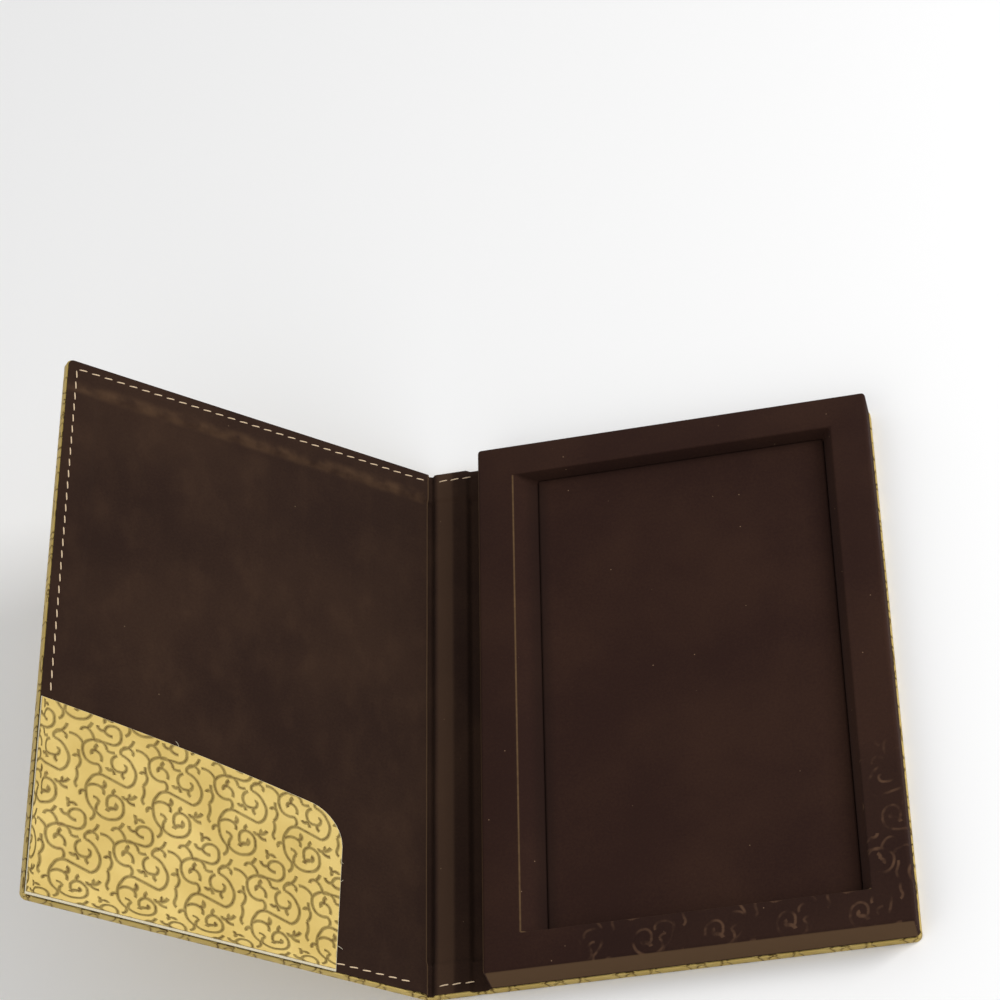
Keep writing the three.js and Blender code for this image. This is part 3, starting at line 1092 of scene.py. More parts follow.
class CoverSheets:
    """The gold skin and the lining of one cover, each with the half of the spine next to it."""

    def __init__(self, side: Side, sizes: FolderSizes) -> None:
        """Keeps the side and the shared sizes."""
        self.side = side
        self.sizes = sizes
        self.relief = Relief(sizes)
        self.map = SheetMap(sizes)
        self.fold = Fold(sizes)

    def _x(self, outward: float) -> float:
        """The flat x of a distance from the cover's hinge line."""
        if self.side is Side.BACK:
            return outward
        return -self.sizes.spine_width - outward

    def _columns(self, inset: float, coarse: float) -> list[float]:
        """The grid's places across the sheet, from the spine's middle to the fore edge."""
        sizes = self.sizes
        end = sizes.cover_width - inset
        edge = sizes.cover_width
        stops = [
            (-sizes.spine_width / 2, 1.0),
            (-5.0, 0.35),
            (5.0, 2.0),
            (12.0, coarse),
            (edge - sizes.turn_in - 3.0, 0.6),
            (edge - sizes.turn_in + 1.0, 1.6),
            (edge - sizes.seam_inset - 1.0, 0.5),
            (edge - sizes.corner_radius, 0.35),
            (end, 1.0),
        ]
        return sorted(self._x(place) * MM for place in spaced(stops))

    def _rows(self, inset: float, coarse: float) -> list[float]:
        """The grid's places from the foot to the head."""
        sizes = self.sizes
        end = sizes.half_height - inset
        edge = sizes.half_height
        stops = [
            (0.0, coarse),
            (edge - sizes.turn_in - 3.0, 0.6),
            (edge - sizes.turn_in + 1.0, 1.6),
            (edge - sizes.seam_inset - 1.0, 0.5),
            (edge - sizes.corner_radius, 0.35),
            (end, 1.0),
        ]
        half = [place * MM for place in spaced(stops)]
        return [-place for place in reversed(half[1:])] + half

    def _round_corner(self, obj: bpy.types.Object) -> None:
        """Draws the grid's outer corners in to the cover's rounded ones."""
        sizes = self.sizes
        centre_out = sizes.cover_width - sizes.corner_radius
        centre_up = sizes.half_height - sizes.corner_radius
        for vertex in obj.data.vertices:
            outward = abs(vertex.co.x / MM - self._x(0.0)) - centre_out
            upward = abs(vertex.co.y / MM) - centre_up
            own_side = (vertex.co.x / MM - self._x(0.0)) * self.side.value > 0
            if outward <= 0 or upward <= 0 or not own_side:
                continue
            share = max(outward, upward) / math.hypot(outward, upward)
            vertex.co.x = self._x(centre_out + outward * share) * MM
            vertex.co.y = math.copysign(centre_up + upward * share, vertex.co.y) * MM

    def _is_rim(self, co: Vector) -> bool:
        """Whether a point lies on the sheet's head, foot or fore edge."""
        sizes = self.sizes
        outward = (co.x / MM - self._x(0.0)) * self.side.value
        upward = abs(co.y / MM)
        near = 0.02
        if outward > sizes.cover_width - near or upward > sizes.half_height - near:
            return True
        over_out = outward - (sizes.cover_width - sizes.corner_radius)
        over_up = upward - (sizes.half_height - sizes.corner_radius)
        return over_out > 0 and over_up > 0 and math.hypot(over_out, over_up) > sizes.corner_radius - near

    def build_skin(self, gold: bpy.types.Material) -> bpy.types.Object:
        """Builds the gold sheet: outside, sides and the part turned in over the board.

        Args:
            gold: Its finish.

        Returns:
            The folded sheet.
        """
        sizes = self.sizes
        name = f"{self.side.name.lower()}_gold_skin"
        obj = grid_sheet(name, self._columns(0.0, 6.0), self._rows(0.0, 6.0))
        self._round_corner(obj)
        for vertex in obj.data.vertices:
            vertex.co.z = self.relief.underside(vertex.co.x / MM) * MM
        flat_count = len(obj.data.vertices)
        select_edges(obj, lambda a, b: self._is_rim(a) and self._is_rim(b) and self._on_border(a, b))
        bpy.ops.mesh.extrude_region_move(TRANSFORM_OT_translate={"value": (0, 0, MM)})
        bpy.ops.object.mode_set(mode="OBJECT")
        wall_count = len(obj.data.vertices)
        for vertex in obj.data.vertices[flat_count:wall_count]:
            vertex.co.z = self.relief.flange(vertex.co.x / MM) * MM
        tops = {tuple(round(v / MM, 3) for v in vertex.co) for vertex in obj.data.vertices[flat_count:]}
        select_edges(
            obj,
            lambda a, b: all(tuple(round(v / MM, 3) for v in end) in tops for end in (a, b))
            and abs(a.z - b.z) < 3 * MM,
        )
        bpy.ops.mesh.extrude_region_move(TRANSFORM_OT_translate={"value": (0, 0, 0)})
        bpy.ops.object.mode_set(mode="OBJECT")
        for vertex in obj.data.vertices[wall_count:]:
            self._turn_in(vertex)
        obj.data.update()
        pick(obj)
        bpy.ops.object.mode_set(mode="EDIT")
        bpy.ops.mesh.select_all(action="SELECT")
        bpy.ops.mesh.remove_doubles(threshold=0.00001)
        bpy.ops.mesh.normals_make_consistent(inside=False)
        bpy.ops.object.mode_set(mode="OBJECT")
        self._face_out(obj)
        bevel = obj.modifiers.new("rounded_edges", "BEVEL")
        bevel.width = 0.75 * MM
        bevel.segments = 3
        bevel.limit_method = "ANGLE"
        bevel.angle_limit = math.radians(50)
        thick = obj.modifiers.new("sheet", "SOLIDIFY")
        thick.thickness = sizes.skin * MM
        thick.offset = -1.0
        finish_modifiers(obj)
        return self._complete(obj, gold)

    def _on_border(self, a: Vector, b: Vector) -> bool:
        """Whether an edge runs along the sheet's border and not across it."""
        sizes = self.sizes
        middle = (a + b) / 2
        outward = (middle.x / MM - self._x(0.0)) * self.side.value
        upward = abs(middle.y / MM)
        if outward > sizes.cover_width - 0.05 or upward > sizes.half_height - 0.05:
            return True
        over_out = outward - (sizes.cover_width - sizes.corner_radius)
        over_up = upward - (sizes.half_height - sizes.corner_radius)
        return math.hypot(max(0, over_out), max(0, over_up)) > sizes.corner_radius - 0.12

    def _turn_in(self, vertex: bpy.types.MeshVertex) -> None:
        """Moves the inner rim of the turned-in skin to its place over the board."""
        sizes = self.sizes
        outward = (vertex.co.x / MM - self._x(0.0)) * self.side.value
        inner_up = sizes.half_height - sizes.turn_in
        inner_out = sizes.cover_width - sizes.turn_in
        vertex.co.x = self._x(min(outward, inner_out)) * MM
        upward = vertex.co.y / MM
        vertex.co.y = math.copysign(min(abs(upward), inner_up), upward) * MM

    def _face_out(self, obj: bpy.types.Object) -> None:
        """Turns the sheet's faces outwards if its outside faces up."""
        lowest = min(obj.data.polygons, key=lambda face: face.center.z)
        if lowest.normal.z > 0:
            pick(obj)
            bpy.ops.object.mode_set(mode="EDIT")
            bpy.ops.mesh.select_all(action="SELECT")
            bpy.ops.mesh.flip_normals()
            bpy.ops.object.mode_set(mode="OBJECT")

    def build_lining(self, suede: bpy.types.Material) -> bpy.types.Object:
        """Builds the lining, which drops into the hinge grooves and rises over the turned-in skin.

        Args:
            suede: Its finish.

        Returns:
            The folded sheet.
        """
        sizes = self.sizes
        coarse = 2.5 if self.side is Side.FRONT else 6.0
        name = f"{self.side.name.lower()}_suede_lining"
        obj = grid_sheet(
            name, self._columns(sizes.lining_inset, coarse), self._rows(sizes.lining_inset, coarse)
        )
        self._round_corner(obj)
        for vertex in obj.data.vertices:
            x, y = vertex.co.x / MM, vertex.co.y / MM
            vertex.co.z = (self.relief.lining(x, y) + self._ripple(x, y)) * MM
        thick = obj.modifiers.new("sheet", "SOLIDIFY")
        thick.thickness = sizes.lining * MM
        thick.offset = -1.0
        finish_modifiers(obj)
        return self._complete(obj, suede)

    def _ripple(self, x: float, y: float) -> float:
        """Small puckers of the lining, largest at the foot of the front fold."""
        sizes = self.sizes
        from_fold = -(x + sizes.spine_width)
        low = 1 - smooth(4.0, 26.0, y + sizes.half_height)
        pucker = math.exp(-(((from_fold - 5.5) / 2.2) ** 2)) * low * 0.7
        hum = 0.07 * math.sin(x * 0.11 + 1.3 * math.sin(y * 0.07)) * math.sin(y * 0.09 + 0.6)
        inner = smooth(14.0, 24.0, min(sizes.half_height - abs(y), sizes.cover_width - abs(from_fold)))
        return pucker + hum * inner

    def _complete(self, obj: bpy.types.Object, finish: bpy.types.Material) -> bpy.types.Object:
        """Maps, folds, shades and dresses a sheet."""
        sizes = self.sizes
        self.map.apply(obj)
        self.fold.apply(obj)
        obj.data.materials.clear()
        obj.data.materials.append(finish)
        smooth_shade(obj)
        reach = sizes.fold_reach
        inner = self.fold.place(Vector((self._x(-reach), 0.0, 0.0))) * MM
        outer = self.fold.place(Vector((self._x(reach), 0.0, 0.0))) * MM
        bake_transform(obj)
        report(obj)
        return obj


# Pocket


class Pocket:
    """The bill pocket: a gold face on a cream cloth backing, with a few loose threads."""

    def __init__(self, sizes: PocketSizes, folder: FolderSizes) -> None:
        """Keeps the sizes of the pocket and of the folder."""
        self.sizes = sizes
        self.folder = folder
        self.fold = Fold(folder)
        self.map = SheetMap(folder)

    def _top(self, outward: float) -> float:
        """The height of the pocket's upper edge over the foot, at a distance from the hinge line."""
        sizes = self.sizes
        run = sizes.outer - sizes.inner_top
        slope = (sizes.height_outer - sizes.height_corner) / run
        line = sizes.height_corner + slope * (outward - sizes.inner_top)
        line += 1.3 * math.sin(math.pi * min(1.0, (outward - sizes.inner_top) / run))
        into = sizes.corner - (outward - sizes.inner_top)
        if into <= 0:
            return line
        into = min(into, sizes.corner)
        return line - (sizes.corner - math.sqrt(max(0.0, sizes.corner**2 - into**2)))

    def _lift(self, outward: float, share: float) -> float:
        """How far the open upper edge stands off the lining."""
        sizes = self.sizes
        along = (outward - sizes.inner_top) / (sizes.outer - sizes.inner_top)
        arch = math.sin(math.pi * min(1.0, max(0.0, along))) ** 0.7
        return sizes.lift * arch * smooth(0.35, 1.0, share)

    def _sheet(self, name: str, grow: float, level: float, thickness: float) -> bpy.types.Object:
        """Builds one layer of the pocket.

        Args:
            name: The layer's name.
            grow: How far it reaches past the gold face's edges.
            level: The height of its upper face.
            thickness: Its thickness.

        Returns:
            The layer, still flat.
        """
        sizes = self.sizes
        near, far = sizes.inner_top, sizes.outer
        stops = [(near, 0.25), (near + 4.0, 1.0), (near + sizes.corner + 2, 3.0), (far, 1.0)]
        columns = spaced(stops)
        rows = spaced([(0.0, 0.1), (0.4, 0.05), (1.0, 1.0)])
        xs = sorted((-self.folder.spine_width - place) * MM for place in columns)
        obj = grid_sheet(name, xs, rows)
        for vertex in obj.data.vertices:
            outward = -vertex.co.x / MM - self.folder.spine_width
            share = vertex.co.y
            upward = share * self._top(outward)
            tilt = (sizes.inner_foot - sizes.inner_top) * (1 - share)
            toward = 1 - smooth(0.0, 20.0, outward - sizes.inner_top)
            along = (outward - near) / (far - near)
            wide = outward + tilt * toward + grow * (2 * along - 1)
            high = upward + grow * (2 * share - 1) - (2 * grow * (1 - share) if share < 0.01 else 0.0)
            rise = level + self._lift(outward, share)
            vertex.co = Vector((-self.folder.spine_width - wide, sizes.foot + high, rise)) * MM
        thick = obj.modifiers.new("sheet", "SOLIDIFY")
        thick.thickness = thickness * MM
        thick.offset = -1.0
        finish_modifiers(obj)
        return obj

    def build(self, gold: bpy.types.Material, cream: bpy.types.Material) -> None:
        """Builds both layers and the loose threads.

        Args:
            gold: The face's finish.
            cream: The finish of the backing and its threads.
        """
        sizes = self.sizes
        top = sizes.bottom + sizes.backing + sizes.face
        face = self._sheet("pocket_face", 0.0, top, sizes.face)
        backing = self._sheet("pocket_backing", 0.28, top - sizes.face, sizes.backing)
        for obj, finish in ((face, gold), (backing, cream)):
            self.map.apply(obj)
            self.fold.apply(obj)
            obj.data.materials.append(finish)
            smooth_shade(obj)
            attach(obj, "front_cover")
            report(obj)
        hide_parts("bill_pocket")
        self._loose_threads(cream)

    def _loose_threads(self, cream: bpy.types.Material) -> None:
        """Adds the short threads that stand out of the pocket's cut edges."""
        level = self.sizes.bottom + 0.4
        starts = (
            (100.2, 70.2, 98.0, 2.2, 0.5),
            (37.6, 34.0, 8.0, 1.7, 0.4),
            (38.2, 9.0, -6.0, 2.6, -0.3),
            (37.4, 41.5, 30.0, 1.2, -0.5),
        )
        made = []
        for outward, upward, degrees, length, curl in starts:
            points = []
            for step in range(6):
                turn = math.radians(degrees) + curl * step / 5
                reach = length * step / 5
                x = -self.folder.spine_width - outward + math.cos(turn) * reach
                y = self.sizes.foot + upward + math.sin(turn) * reach
                points.append(Vector((x, y, level + 0.03 * step)))
            made.append(thread_tube(points, 0.09))
        obj = join("pocket_loose_threads", made)
        self.fold.apply(obj)
        obj.data.materials.clear()
        obj.data.materials.append(cream)
        smooth_shade(obj, 60.0)
        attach(obj, "front_cover")
        report(obj)


def thread_tube(points: Sequence[Vector], radius: float) -> bpy.types.Object:
    """Extrudes a thin round thread along points.

    Args:
        points: The points in millimetres.
        radius: The thread's radius in millimetres.

    Returns:
        The thread as a mesh.
    """
    deselect_all()
    first = (points[1] - points[0]).to_track_quat("Z", "Y")
    bpy.ops.mesh.primitive_circle_add(
        vertices=6, radius=radius * MM, fill_type="NGON", location=points[0] * MM, rotation=first.to_euler()
    )
    obj = bpy.context.object
    bpy.ops.object.transform_apply(location=True, rotation=True, scale=True)
    bpy.ops.object.mode_set(mode="EDIT")
    bpy.ops.mesh.select_all(action="SELECT")
    for start, end in zip(points, points[1:]):
        bpy.ops.mesh.extrude_region_move(TRANSFORM_OT_translate={"value": tuple((end - start) * MM)})
    bpy.ops.mesh.select_all(action="SELECT")
    bpy.ops.mesh.normals_make_consistent(inside=False)
    bpy.ops.object.mode_set(mode="OBJECT")
    return obj


# Seam


@dataclass
class Seam:
    """The row of stitches near the folder's edges: cream inside and gold outside."""

    sizes: FolderSizes
    pocket: PocketSizes
    pitch: float = 5.02
    length: float = 3.7
    width: float = 0.52
    height: float = 0.42
    slant: float = 6.0
    back_gap: float = 1.6
    front_gap: float = 3.5

    def __post_init__(self) -> None:
        """Prepares the folder's relief and fold."""
        self.relief = Relief(self.sizes)
        self.fold = Fold(self.sizes)

    def _stitch(self) -> bpy.types.Object:
        """Models one stitch along X: a short thread that dips in at both ends."""
        deselect_all()
        bpy.ops.mesh.primitive_cylinder_add(
            vertices=8, radius=0.5 * MM, depth=self.length * MM, rotation=(0, math.pi / 2, 0)
        )
        obj = bpy.context.object
        bpy.ops.object.transform_apply(location=True, rotation=True, scale=True)
        for cut in (-0.42, -0.28, 0.0, 0.28, 0.42):
            bpy.ops.object.mode_set(mode="EDIT")
            bpy.ops.mesh.select_all(action="SELECT")
            bpy.ops.mesh.bisect(plane_co=(cut * self.length * MM, 0, 0), plane_no=(1, 0, 0))
            bpy.ops.object.mode_set(mode="OBJECT")
        for vertex in obj.data.vertices:
            share = abs(vertex.co.x) / (self.length * MM / 2)
            thin = math.sqrt(max(0.12, 1 - share**4))
            vertex.co.y *= self.width * thin
            vertex.co.z = vertex.co.z * self.height * thin - 0.3 * MM * share**4
        return obj

    def _copy(
        self, model: bpy.types.Object, x: float, y: float, z: float, degrees: float
    ) -> bpy.types.Object:
        """Copies the stitch to a place on the flat folder.

        Args:
            model: The modelled stitch.
            x: Its place across, in millimetres.
            y: Its place up, in millimetres.
            z: Its height, in millimetres.
            degrees: Its direction.

        Returns:
            The copy, with its own mesh.
        """
        copy = model.copy()
        copy.data = model.data.copy()
        bpy.context.collection.objects.link(copy)
        turn = Matrix.Rotation(math.radians(degrees), 4, "Z")
        copy.data.transform(Matrix.Translation(Vector((x, y, z)) * MM) @ turn)
        return copy

    def _row(self, start: Vector, end: Vector) -> list[tuple[float, float, float]]:
        """Middles and direction of the stitches between two corners."""
        run = end - start
        count = max(1, round(run.length / self.pitch))
        degrees = math.degrees(math.atan2(run.y, run.x)) + self.slant
        middles = [start + run * ((i + 0.5) / count) for i in range(count)]
        return [(m.x, m.y, degrees) for m in middles]

    def _under_pocket(self, x: float, y: float) -> bool:
        """Whether a stitch lies under the pocket."""
        outward = -(x + self.sizes.spine_width)
        upward = y + self.sizes.half_height
        return outward > self.pocket.inner_foot - 1.0 and upward < self.pocket.height_outer + 1.5

    def build(self, cream: bpy.types.Material, gold: bpy.types.Material) -> None:
        """Builds the seam of each body outside, and inside on the front cover and the spine.

        Args:
            cream: The finish of the thread that shows on the lining.
            gold: The finish of the thread that shows on the skin.
        """
        sizes = self.sizes
        high = sizes.half_height - sizes.seam_inset
        fore_front = -sizes.spine_width - sizes.cover_width + sizes.seam_inset
        fore_back = sizes.cover_width - sizes.seam_inset
        gap, front_gap = self.back_gap, self.front_gap
        front_fold = -sizes.spine_width
        loops = {
            "front_cover": [
                (Vector((front_fold - front_gap, high)), Vector((fore_front, high))),
                (Vector((fore_front, high)), Vector((fore_front, -high))),
                (Vector((fore_front, -high)), Vector((front_fold - front_gap, -high))),
            ],
            "spine": [
                (Vector((front_fold + front_gap, -high)), Vector((-gap, -high))),
                (Vector((front_fold + front_gap, high)), Vector((-gap, high))),
            ],
            "back": [
                (Vector((gap, high)), Vector((fore_back, high))),
                (Vector((fore_back, high)), Vector((fore_back, -high))),
                (Vector((fore_back, -high)), Vector((gap, -high))),
            ],
        }
        model = self._stitch()
        for body, lines in loops.items():
            places = [place for start, end in lines for place in self._row(start, end)]
            self._seam(f"seam_{body}_outside", body, model, places, gold, False)
            shown = [place for place in places if not self._under_pocket(*place[:2])]
            if body != "back":
                self._seam(f"seam_{body}_inside", body, model, shown, cream, True)
        bpy.data.objects.remove(model)

    def _seam(
        self,
        name: str,
        body: str,
        model: bpy.types.Object,
        places: Iterable[tuple[float, float, float]],
        finish: bpy.types.Material,
        inside: bool,
    ) -> None:
        """Builds the stitches of one body on one side of it.

        Args:
            name: The seam's name.
            body: The body it rides on.
            model: The modelled stitch.
            places: The stitches' middles and directions.
            finish: The thread's finish.
            inside: Whether they lie on the lining and not on the skin.
        """
        made = []
        for x, y, degrees in places:
            level = self.relief.lining(x, y) + 0.08 if inside else self.relief.underside(x) - 0.08
            copy = self._copy(model, x, y, 0.0, degrees)
            for vertex in copy.data.vertices:
                tall = vertex.co.z if inside else -vertex.co.z
                vertex.co.z = tall + level * MM
            made.append(copy)
        obj = join(name, made)
        self.fold.apply(obj)
        pick(obj)
        bpy.ops.object.mode_set(mode="EDIT")
        bpy.ops.mesh.select_all(action="SELECT")
        bpy.ops.mesh.normals_make_consistent(inside=False)
        bpy.ops.object.mode_set(mode="OBJECT")
        obj.data.materials.clear()
        obj.data.materials.append(finish)
        smooth_shade(obj, 60.0)
        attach(obj, body)
        report(obj)


# Tray


class Tray:
    """The velvet tray on the back cover."""

    def __init__(self, sizes: TraySizes, folder: FolderSizes) -> None:
        """Keeps the sizes of the tray and of the folder."""
        self.sizes = sizes
        self.folder = folder

    def _block(
        self, name: str, near: float, far: float, half: float, bottom: float, top: float
    ) -> bpy.types.Object:
        """Adds a block between limits given from the back cover's hinge line."""
        deselect_all()
        offset = self.folder.hinge_offset
        middle = Vector(((near + far) / 2, 0.0, (bottom + top) / 2)) + offset
        bpy.ops.mesh.primitive_cube_add(size=1.0, location=middle * MM)
        obj = bpy.context.object
        obj.name = name
        obj.scale = Vector((far - near, 2 * half, top - bottom)) * MM
        bpy.ops.object.transform_apply(location=True, rotation=True, scale=True)
        return obj

    def _at(self, x: float, y: float, z: float) -> Vector:
        """A point of the row frame, in metres, from the hinge line's own millimetres."""
        return (Vector((x, y, z)) + self.folder.hinge_offset) * MM

    def build_wrap(self, velvet: bpy.types.Material) -> bpy.types.Object:
        """Builds the velvet over the tray's outside, rim and recess walls.

        Args:
            velvet: Its finish.

        Returns:
            The wrap.
        """
        sizes = self.sizes
        obj = self._block("tray_velvet", sizes.near, sizes.far, sizes.half, sizes.bottom, sizes.top)
        top = self._at(0, 0, sizes.top).z
        bottom = self._at(0, 0, sizes.bottom).z
        self._select_face(obj, lambda face: face.calc_center_median().z < bottom + 1e-5)
        bpy.ops.mesh.delete(type="ONLY_FACE")
        bpy.ops.object.mode_set(mode="OBJECT")
        self._select_face(obj, lambda face: face.calc_center_median().z > top - 1e-5)
        bpy.ops.mesh.inset(thickness=sizes.end_rim * MM)
        lip = (
            sizes.near + sizes.hinge_rim,
            sizes.far - sizes.fore_rim,
            sizes.half - sizes.end_rim,
            sizes.top,
        )
        self._move_selected(obj, *lip)
        bpy.ops.mesh.extrude_region_move(TRANSFORM_OT_translate={"value": (0, 0, -MM)})
        level = sizes.pad_top - sizes.pad_round
        foot = (lip[0] + sizes.hinge_slope, lip[1] - sizes.fore_slope, lip[2], level)
        self._move_selected(obj, *foot)
        bpy.ops.mesh.extrude_region_move(TRANSFORM_OT_translate={"value": (0, 0, -MM)})
        self._move_selected(obj, foot[0], foot[1], foot[2], sizes.bottom)
        bpy.ops.mesh.delete(type="ONLY_FACE")
        bpy.ops.object.mode_set(mode="OBJECT")
        self._bevel(obj, sizes.edge_round, 5, lambda a, b: self._outer_edge(a, b))
        self._bevel(obj, sizes.lip_round, 4, lambda a, b: self._lip_edge(a, b, lip))
        self._bevel(obj, 1.1, 3, lambda a, b: self._inner_corner(a, b, lip))
        thick = obj.modifiers.new("velvet", "SOLIDIFY")
        thick.thickness = sizes.velvet * MM * 0.9
        thick.offset = -1.0
        finish_modifiers(obj)
        obj.data.materials.append(velvet)
        smooth_shade(obj, 40.0)
        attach(obj, "back")
        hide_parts("tray_velvet_wrap")
        report(obj)
        return obj

    def _select_face(self, obj: bpy.types.Object, wanted: Callable[[bmesh.types.BMFace], bool]) -> None:
        """Enters edit mode with only the wanted faces selected."""
        pick(obj)
        bpy.ops.object.mode_set(mode="EDIT")
        bpy.ops.mesh.select_mode(type="FACE")
        bpy.ops.mesh.select_all(action="DESELECT")
        mesh = bmesh.from_edit_mesh(obj.data)
        for face in mesh.faces:
            if wanted(face):
                face.select_set(True)
        bmesh.update_edit_mesh(obj.data)

    def _move_selected(
        self, obj: bpy.types.Object, near: float, far: float, half: float, level: float
    ) -> None:
        """Moves the four corners of the selected face to a rectangle at a level."""
        mesh = bmesh.from_edit_mesh(obj.data)
        middle = self._at((self.sizes.near + self.sizes.far) / 2, 0, 0).x
        for vertex in mesh.verts:
            if vertex.select:
                x = near if vertex.co.x < middle else far
                y = -half if vertex.co.y < 0 else half
                vertex.co = self._at(x, y, level)
        bmesh.update_edit_mesh(obj.data)

    def _bevel(
        self, obj: bpy.types.Object, width: float, segments: int, wanted: Callable[[Vector, Vector], bool]
    ) -> None:
        """Rounds the wanted edges."""
        select_edges(obj, wanted)
        bpy.ops.mesh.bevel(offset=width * MM, segments=segments, profile=0.5, affect="EDGES")
        bpy.ops.object.mode_set(mode="OBJECT")

    def _outer_edge(self, a: Vector, b: Vector) -> bool:
        """Whether an edge is one of the tray's four upper or four upright outer edges."""
        sizes = self.sizes
        low, high = self._at(sizes.near, -sizes.half, 0), self._at(sizes.far, sizes.half, sizes.top)
        near = 1e-5

        def on_side(p: Vector) -> tuple[bool, bool]:
            """Whether a point lies on the outer X sides and the outer Y sides."""
            return (
                min(abs(p.x - low.x), abs(p.x - high.x)) < near,
                min(abs(p.y - low.y), abs(p.y - high.y)) < near,
            )

        both_top = abs(a.z - high.z) < near and abs(b.z - high.z) < near
        same_x = on_side(a)[0] and on_side(b)[0]
        same_y = on_side(a)[1] and on_side(b)[1]
        upright = same_x and same_y and abs(a.x - b.x) < near and abs(a.y - b.y) < near
        along = (same_x and abs(a.x - b.x) < near) or (same_y and abs(a.y - b.y) < near)
        return (both_top and along) or upright

    def _lip_edge(self, a: Vector, b: Vector, lip: tuple[float, float, float, float]) -> bool:
        """Whether an edge is one of the recess's four upper edges."""
        corners = [self._at(x, y, lip[3]) for x in lip[:2] for y in (-lip[2], lip[2])]
        return all(min((p - c).length for c in corners) < 1e-5 for p in (a, b))

    def _inner_corner(self, a: Vector, b: Vector, lip: tuple[float, float, float, float]) -> bool:
        """Whether an edge is one of the recess's four upright corners."""
        sizes = self.sizes
        wall_foot = self._at(0, 0, sizes.pad_top - sizes.pad_round).z
        high, low = max(a.z, b.z), min(a.z, b.z)
        inside = all(abs(abs(p.y) - lip[2] * MM) < 2 * MM for p in (a, b))
        reaches = high > self._at(0, 0, sizes.top - 2).z and abs(low - wall_foot) < 1e-5
        return inside and reaches and abs(a.y - b.y) < 1.5 * MM

    def _pad_height(self, inward: Vector) -> float:
        """The pad's upper face, by how far a point lies inside its sides.

        Args:
            inward: The distances to the nearest sides along X and along Y.

        Returns:
            The height from the hinge line, in millimetres.
        """
        sizes = self.sizes
        radius = sizes.pad_round
        short = Vector((max(0.0, radius - inward.x), max(0.0, radius - inward.y)))
        drop = radius - math.sqrt(max(0.0, radius**2 - min(radius, short.length) ** 2))
        crown = 0.35 * smooth(2.0, 40.0, min(inward.x, inward.y))
        return sizes.pad_top - drop + crown

    def _on_pad_border(self, place: Vector, near: float, far: float, half: float) -> bool:
        """Whether a point lies on the pad's sides."""
        x = place.x / MM - self.folder.hinge_offset.x
        y = abs(place.y / MM)
        return min(abs(x - near), abs(x - far), abs(y - half)) < 0.01

    def build_pad(self, velvet: bpy.types.Material) -> bpy.types.Object:
        """Builds the padded floor of the recess.

        Args:
            velvet: Its finish.

        Returns:
            The pad.
        """
        sizes = self.sizes
        near = sizes.near + sizes.hinge_rim + sizes.hinge_slope + sizes.pad_gap
        far = sizes.far - sizes.fore_rim - sizes.fore_slope - sizes.pad_gap
        half = sizes.half - sizes.end_rim - sizes.pad_gap
        steps = [(0.0, 0.12), (0.4, 0.3), (sizes.pad_round + 0.2, 2.0), (12.0, 8.0)]
        across = spaced([*steps, ((far - near) / 2, 1.0)])
        upward = spaced([*steps, (half, 1.0)])
        xs = [near + place for place in across] + [far - place for place in reversed(across[:-1])]
        ys = [place - half for place in upward] + [half - place for place in reversed(upward[:-1])]
        offset = self.folder.hinge_offset
        obj = grid_sheet("tray_pad", [(x + offset.x) * MM for x in xs], [y * MM for y in ys])
        for vertex in obj.data.vertices:
            x, y = vertex.co.x / MM - offset.x, vertex.co.y / MM
            inward = Vector((min(x - near, far - x), half - abs(y)))
            vertex.co.z = (self._pad_height(inward) + offset.z) * MM
        select_edges(obj, lambda a, b: all(self._on_pad_border(p, near, far, half) for p in (a, b)))
        bpy.ops.mesh.extrude_region_move(TRANSFORM_OT_translate={"value": (0, 0, -MM)})
        bpy.ops.object.mode_set(mode="OBJECT")
        count = len(xs) * len(ys)
        for vertex in obj.data.vertices[count:]:
            vertex.co.z = self._at(0, 0, sizes.bottom).z
        select_edges(obj, lambda a, b: max(a.z, b.z) < self._at(0, 0, sizes.bottom + 0.01).z)
        bpy.ops.mesh.edge_face_add()
        bpy.ops.mesh.select_all(action="SELECT")
        bpy.ops.mesh.normals_make_consistent(inside=False)
        bpy.ops.object.mode_set(mode="OBJECT")
        obj.data.materials.append(velvet)
        smooth_shade(obj, 50.0)
        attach(obj, "back")
        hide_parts("tray_floor_pad")
        report(obj)
        return obj


# Camera, lamps and floor


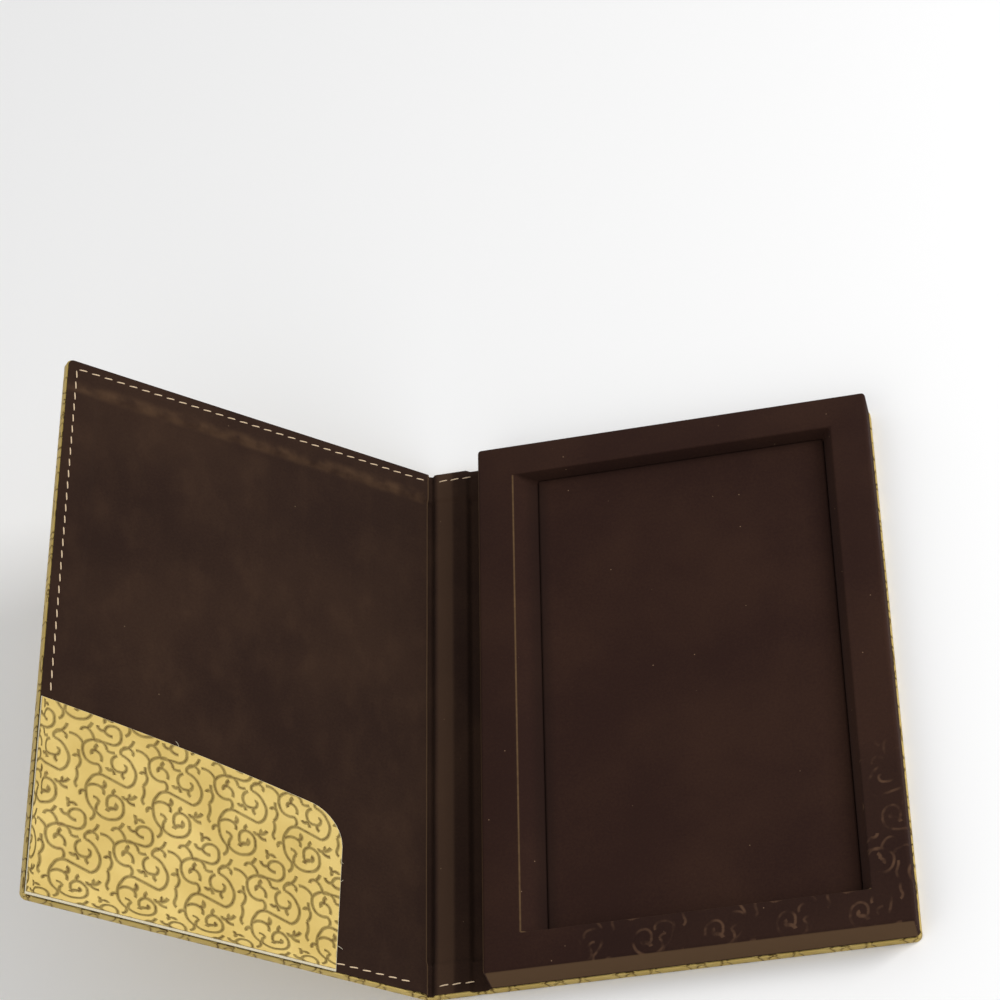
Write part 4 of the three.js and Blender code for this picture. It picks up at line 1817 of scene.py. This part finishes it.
@dataclass(frozen=True)
class Studio:
    """The photograph's camera in a plain pale studio."""

    camera_mm: tuple[float, float, float] = (154.9, -642.4, 981.1)
    tilt: float = 36.19
    turn: float = 13.251
    heading: float = -0.682
    focal_length: float = 117.99
    sensor: float = 36.0
    world_strength: float = 0.55

    def build(self) -> None:
        """Builds the camera, the lamps, the world and the floor."""
        bpy.context.scene.view_settings.view_transform = "Standard"
        self._camera()
        self._world()
        self._lamp("key_lamp", (1.3, 0.3, 0.95), (0.0, 0.0, 0.0), 0.7, 17.5)
        self._lamp("fill_lamp", (-0.5, -1.1, 1.0), (0.0, 0.0, 0.0), 1.2, 5.0)
        self._floor()

    def _camera(self) -> None:
        """Adds the camera."""
        data = bpy.data.cameras.new("camera")
        data.sensor_width = self.sensor
        data.sensor_fit = "HORIZONTAL"
        data.lens = self.focal_length
        data.clip_start = 0.01
        camera = bpy.data.objects.new("camera", data)
        bpy.context.scene.collection.objects.link(camera)
        camera.location = Vector(self.camera_mm) * MM
        camera.rotation_euler = tuple(math.radians(a) for a in (self.tilt, self.turn, self.heading))
        bpy.context.scene.camera = camera

    def _world(self) -> None:
        """Lights the scene evenly, and shows white behind it."""
        world = bpy.data.worlds.new("studio")
        world.use_nodes = True
        nodes, links = world.node_tree.nodes, world.node_tree.links
        background = nodes["Background"]
        path = nodes.new("ShaderNodeLightPath")
        seen = nodes.new("ShaderNodeMath")
        seen.operation = "MAXIMUM"
        links.new(path.outputs["Is Camera Ray"], seen.inputs[0])
        links.new(path.outputs["Is Glossy Ray"], seen.inputs[1])
        strength = nodes.new("ShaderNodeMapRange")
        strength.inputs["To Min"].default_value = self.world_strength
        strength.inputs["To Max"].default_value = 1.0
        links.new(seen.outputs[0], strength.inputs["Value"])
        links.new(strength.outputs["Result"], background.inputs["Strength"])
        background.inputs["Color"].default_value = (1.0, 1.0, 1.0, 1.0)
        bpy.context.scene.world = world

    def _lamp(
        self,
        name: str,
        place: tuple[float, float, float],
        target: tuple[float, float, float],
        size: float,
        power: float,
    ) -> None:
        """Adds a soft area lamp.

        Args:
            name: The lamp's name.
            place: Where it hangs, in metres.
            target: What it points at, in metres.
            size: The length of its sides, in metres.
            power: Its power in watts.
        """
        data = bpy.data.lights.new(name, "AREA")
        data.shape = "SQUARE"
        data.size = size
        data.energy = power
        lamp = bpy.data.objects.new(name, data)
        bpy.context.scene.collection.objects.link(lamp)
        lamp.location = place
        aim = Vector(target) - Vector(place)
        lamp.rotation_euler = aim.to_track_quat("-Z", "Y").to_euler()

    def _floor(self) -> None:
        """Adds the pale floor, just under the folder."""
        deselect_all()
        bpy.ops.mesh.primitive_plane_add(size=8.0, location=(0, 0, -0.0003))
        floor = bpy.context.object
        floor.name = "floor"
        graph = Graph("pale_floor")
        graph.dress(Base_Color=(0.93, 0.93, 0.93, 1.0), Roughness=0.9)
        floor.data.materials.append(graph.material)


# The whole folder


class BillFolder:
    """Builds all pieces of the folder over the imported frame."""

    def __init__(self) -> None:
        """Prepares the sizes and finishes."""
        self.sizes = FolderSizes()
        self.pocket_sizes = PocketSizes()
        self.tray_sizes = TraySizes()
        self.gold = GoldLeatherette().build()
        self.suede = SuedeLining().build()
        self.velvet = TrayVelvet().build()
        self.cream_thread = PlainFinish(
            "cream_thread", (224, 200, 168), (196, 168, 134), 3.0, (1.0, 1.0, 1.0), 0.75
        ).build()
        self.gold_thread = PlainFinish(
            "gold_thread", (198, 172, 100), (160, 132, 70), 3.0, (1.0, 1.0, 1.0), 0.6
        ).build()
        self.backing = PlainFinish(
            "cream_backing", (214, 206, 182), (190, 180, 152), 2.2, (1.0, 1.0, 3.0), 0.9
        ).build()
        self.greyboard = PlainFinish("greyboard", (146, 142, 134), (120, 116, 108), 0.9).build()
        self.fibreboard = PlainFinish(
            "fibreboard", (172, 140, 102), (146, 114, 80), 1.2, (0.3, 1.0, 1.0)
        ).build()

    def build(self) -> None:
        """Builds the covers, the pocket, the seam and the tray."""
        for side, node in ((Side.FRONT, "front_cover"), (Side.BACK, "back_cover")):
            sheets = CoverSheets(side, self.sizes)
            skin = sheets.build_skin(self.gold)
            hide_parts(f"{node}_skin")
            lining = sheets.build_lining(self.suede)
            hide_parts(f"{node}_lining")
            if side is Side.FRONT:
                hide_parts("spine_skin")
                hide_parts("spine_lining")
        Pocket(self.pocket_sizes, self.sizes).build(self.gold, self.backing)
        Seam(self.sizes, self.pocket_sizes).build(self.cream_thread, self.gold_thread)
        tray = Tray(self.tray_sizes, self.sizes)
        tray.build_wrap(self.velvet)
        tray.build_pad(self.velvet)
        self._dress_inner_pieces()

    def _dress_inner_pieces(self) -> None:
        """Gives the boards and the tray's frame, which stay as packed, their finishes."""
        finishes = {
            "back_cover_board": self.greyboard,
            "spine_board": self.greyboard,
            "front_cover_board": self.greyboard,
            "tray_frame": self.fibreboard,
        }
        for name, finish in finishes.items():
            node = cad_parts[name]
            node.data.materials.clear()
            node.data.materials.append(finish)


def main() -> None:
    """Builds the folder and its studio."""
    logging.basicConfig(level=logging.INFO, format="%(name)s: %(message)s")
    Studio().build()
    BillFolder().build()
    deselect_all()


if __name__ == "__main__":
    main()
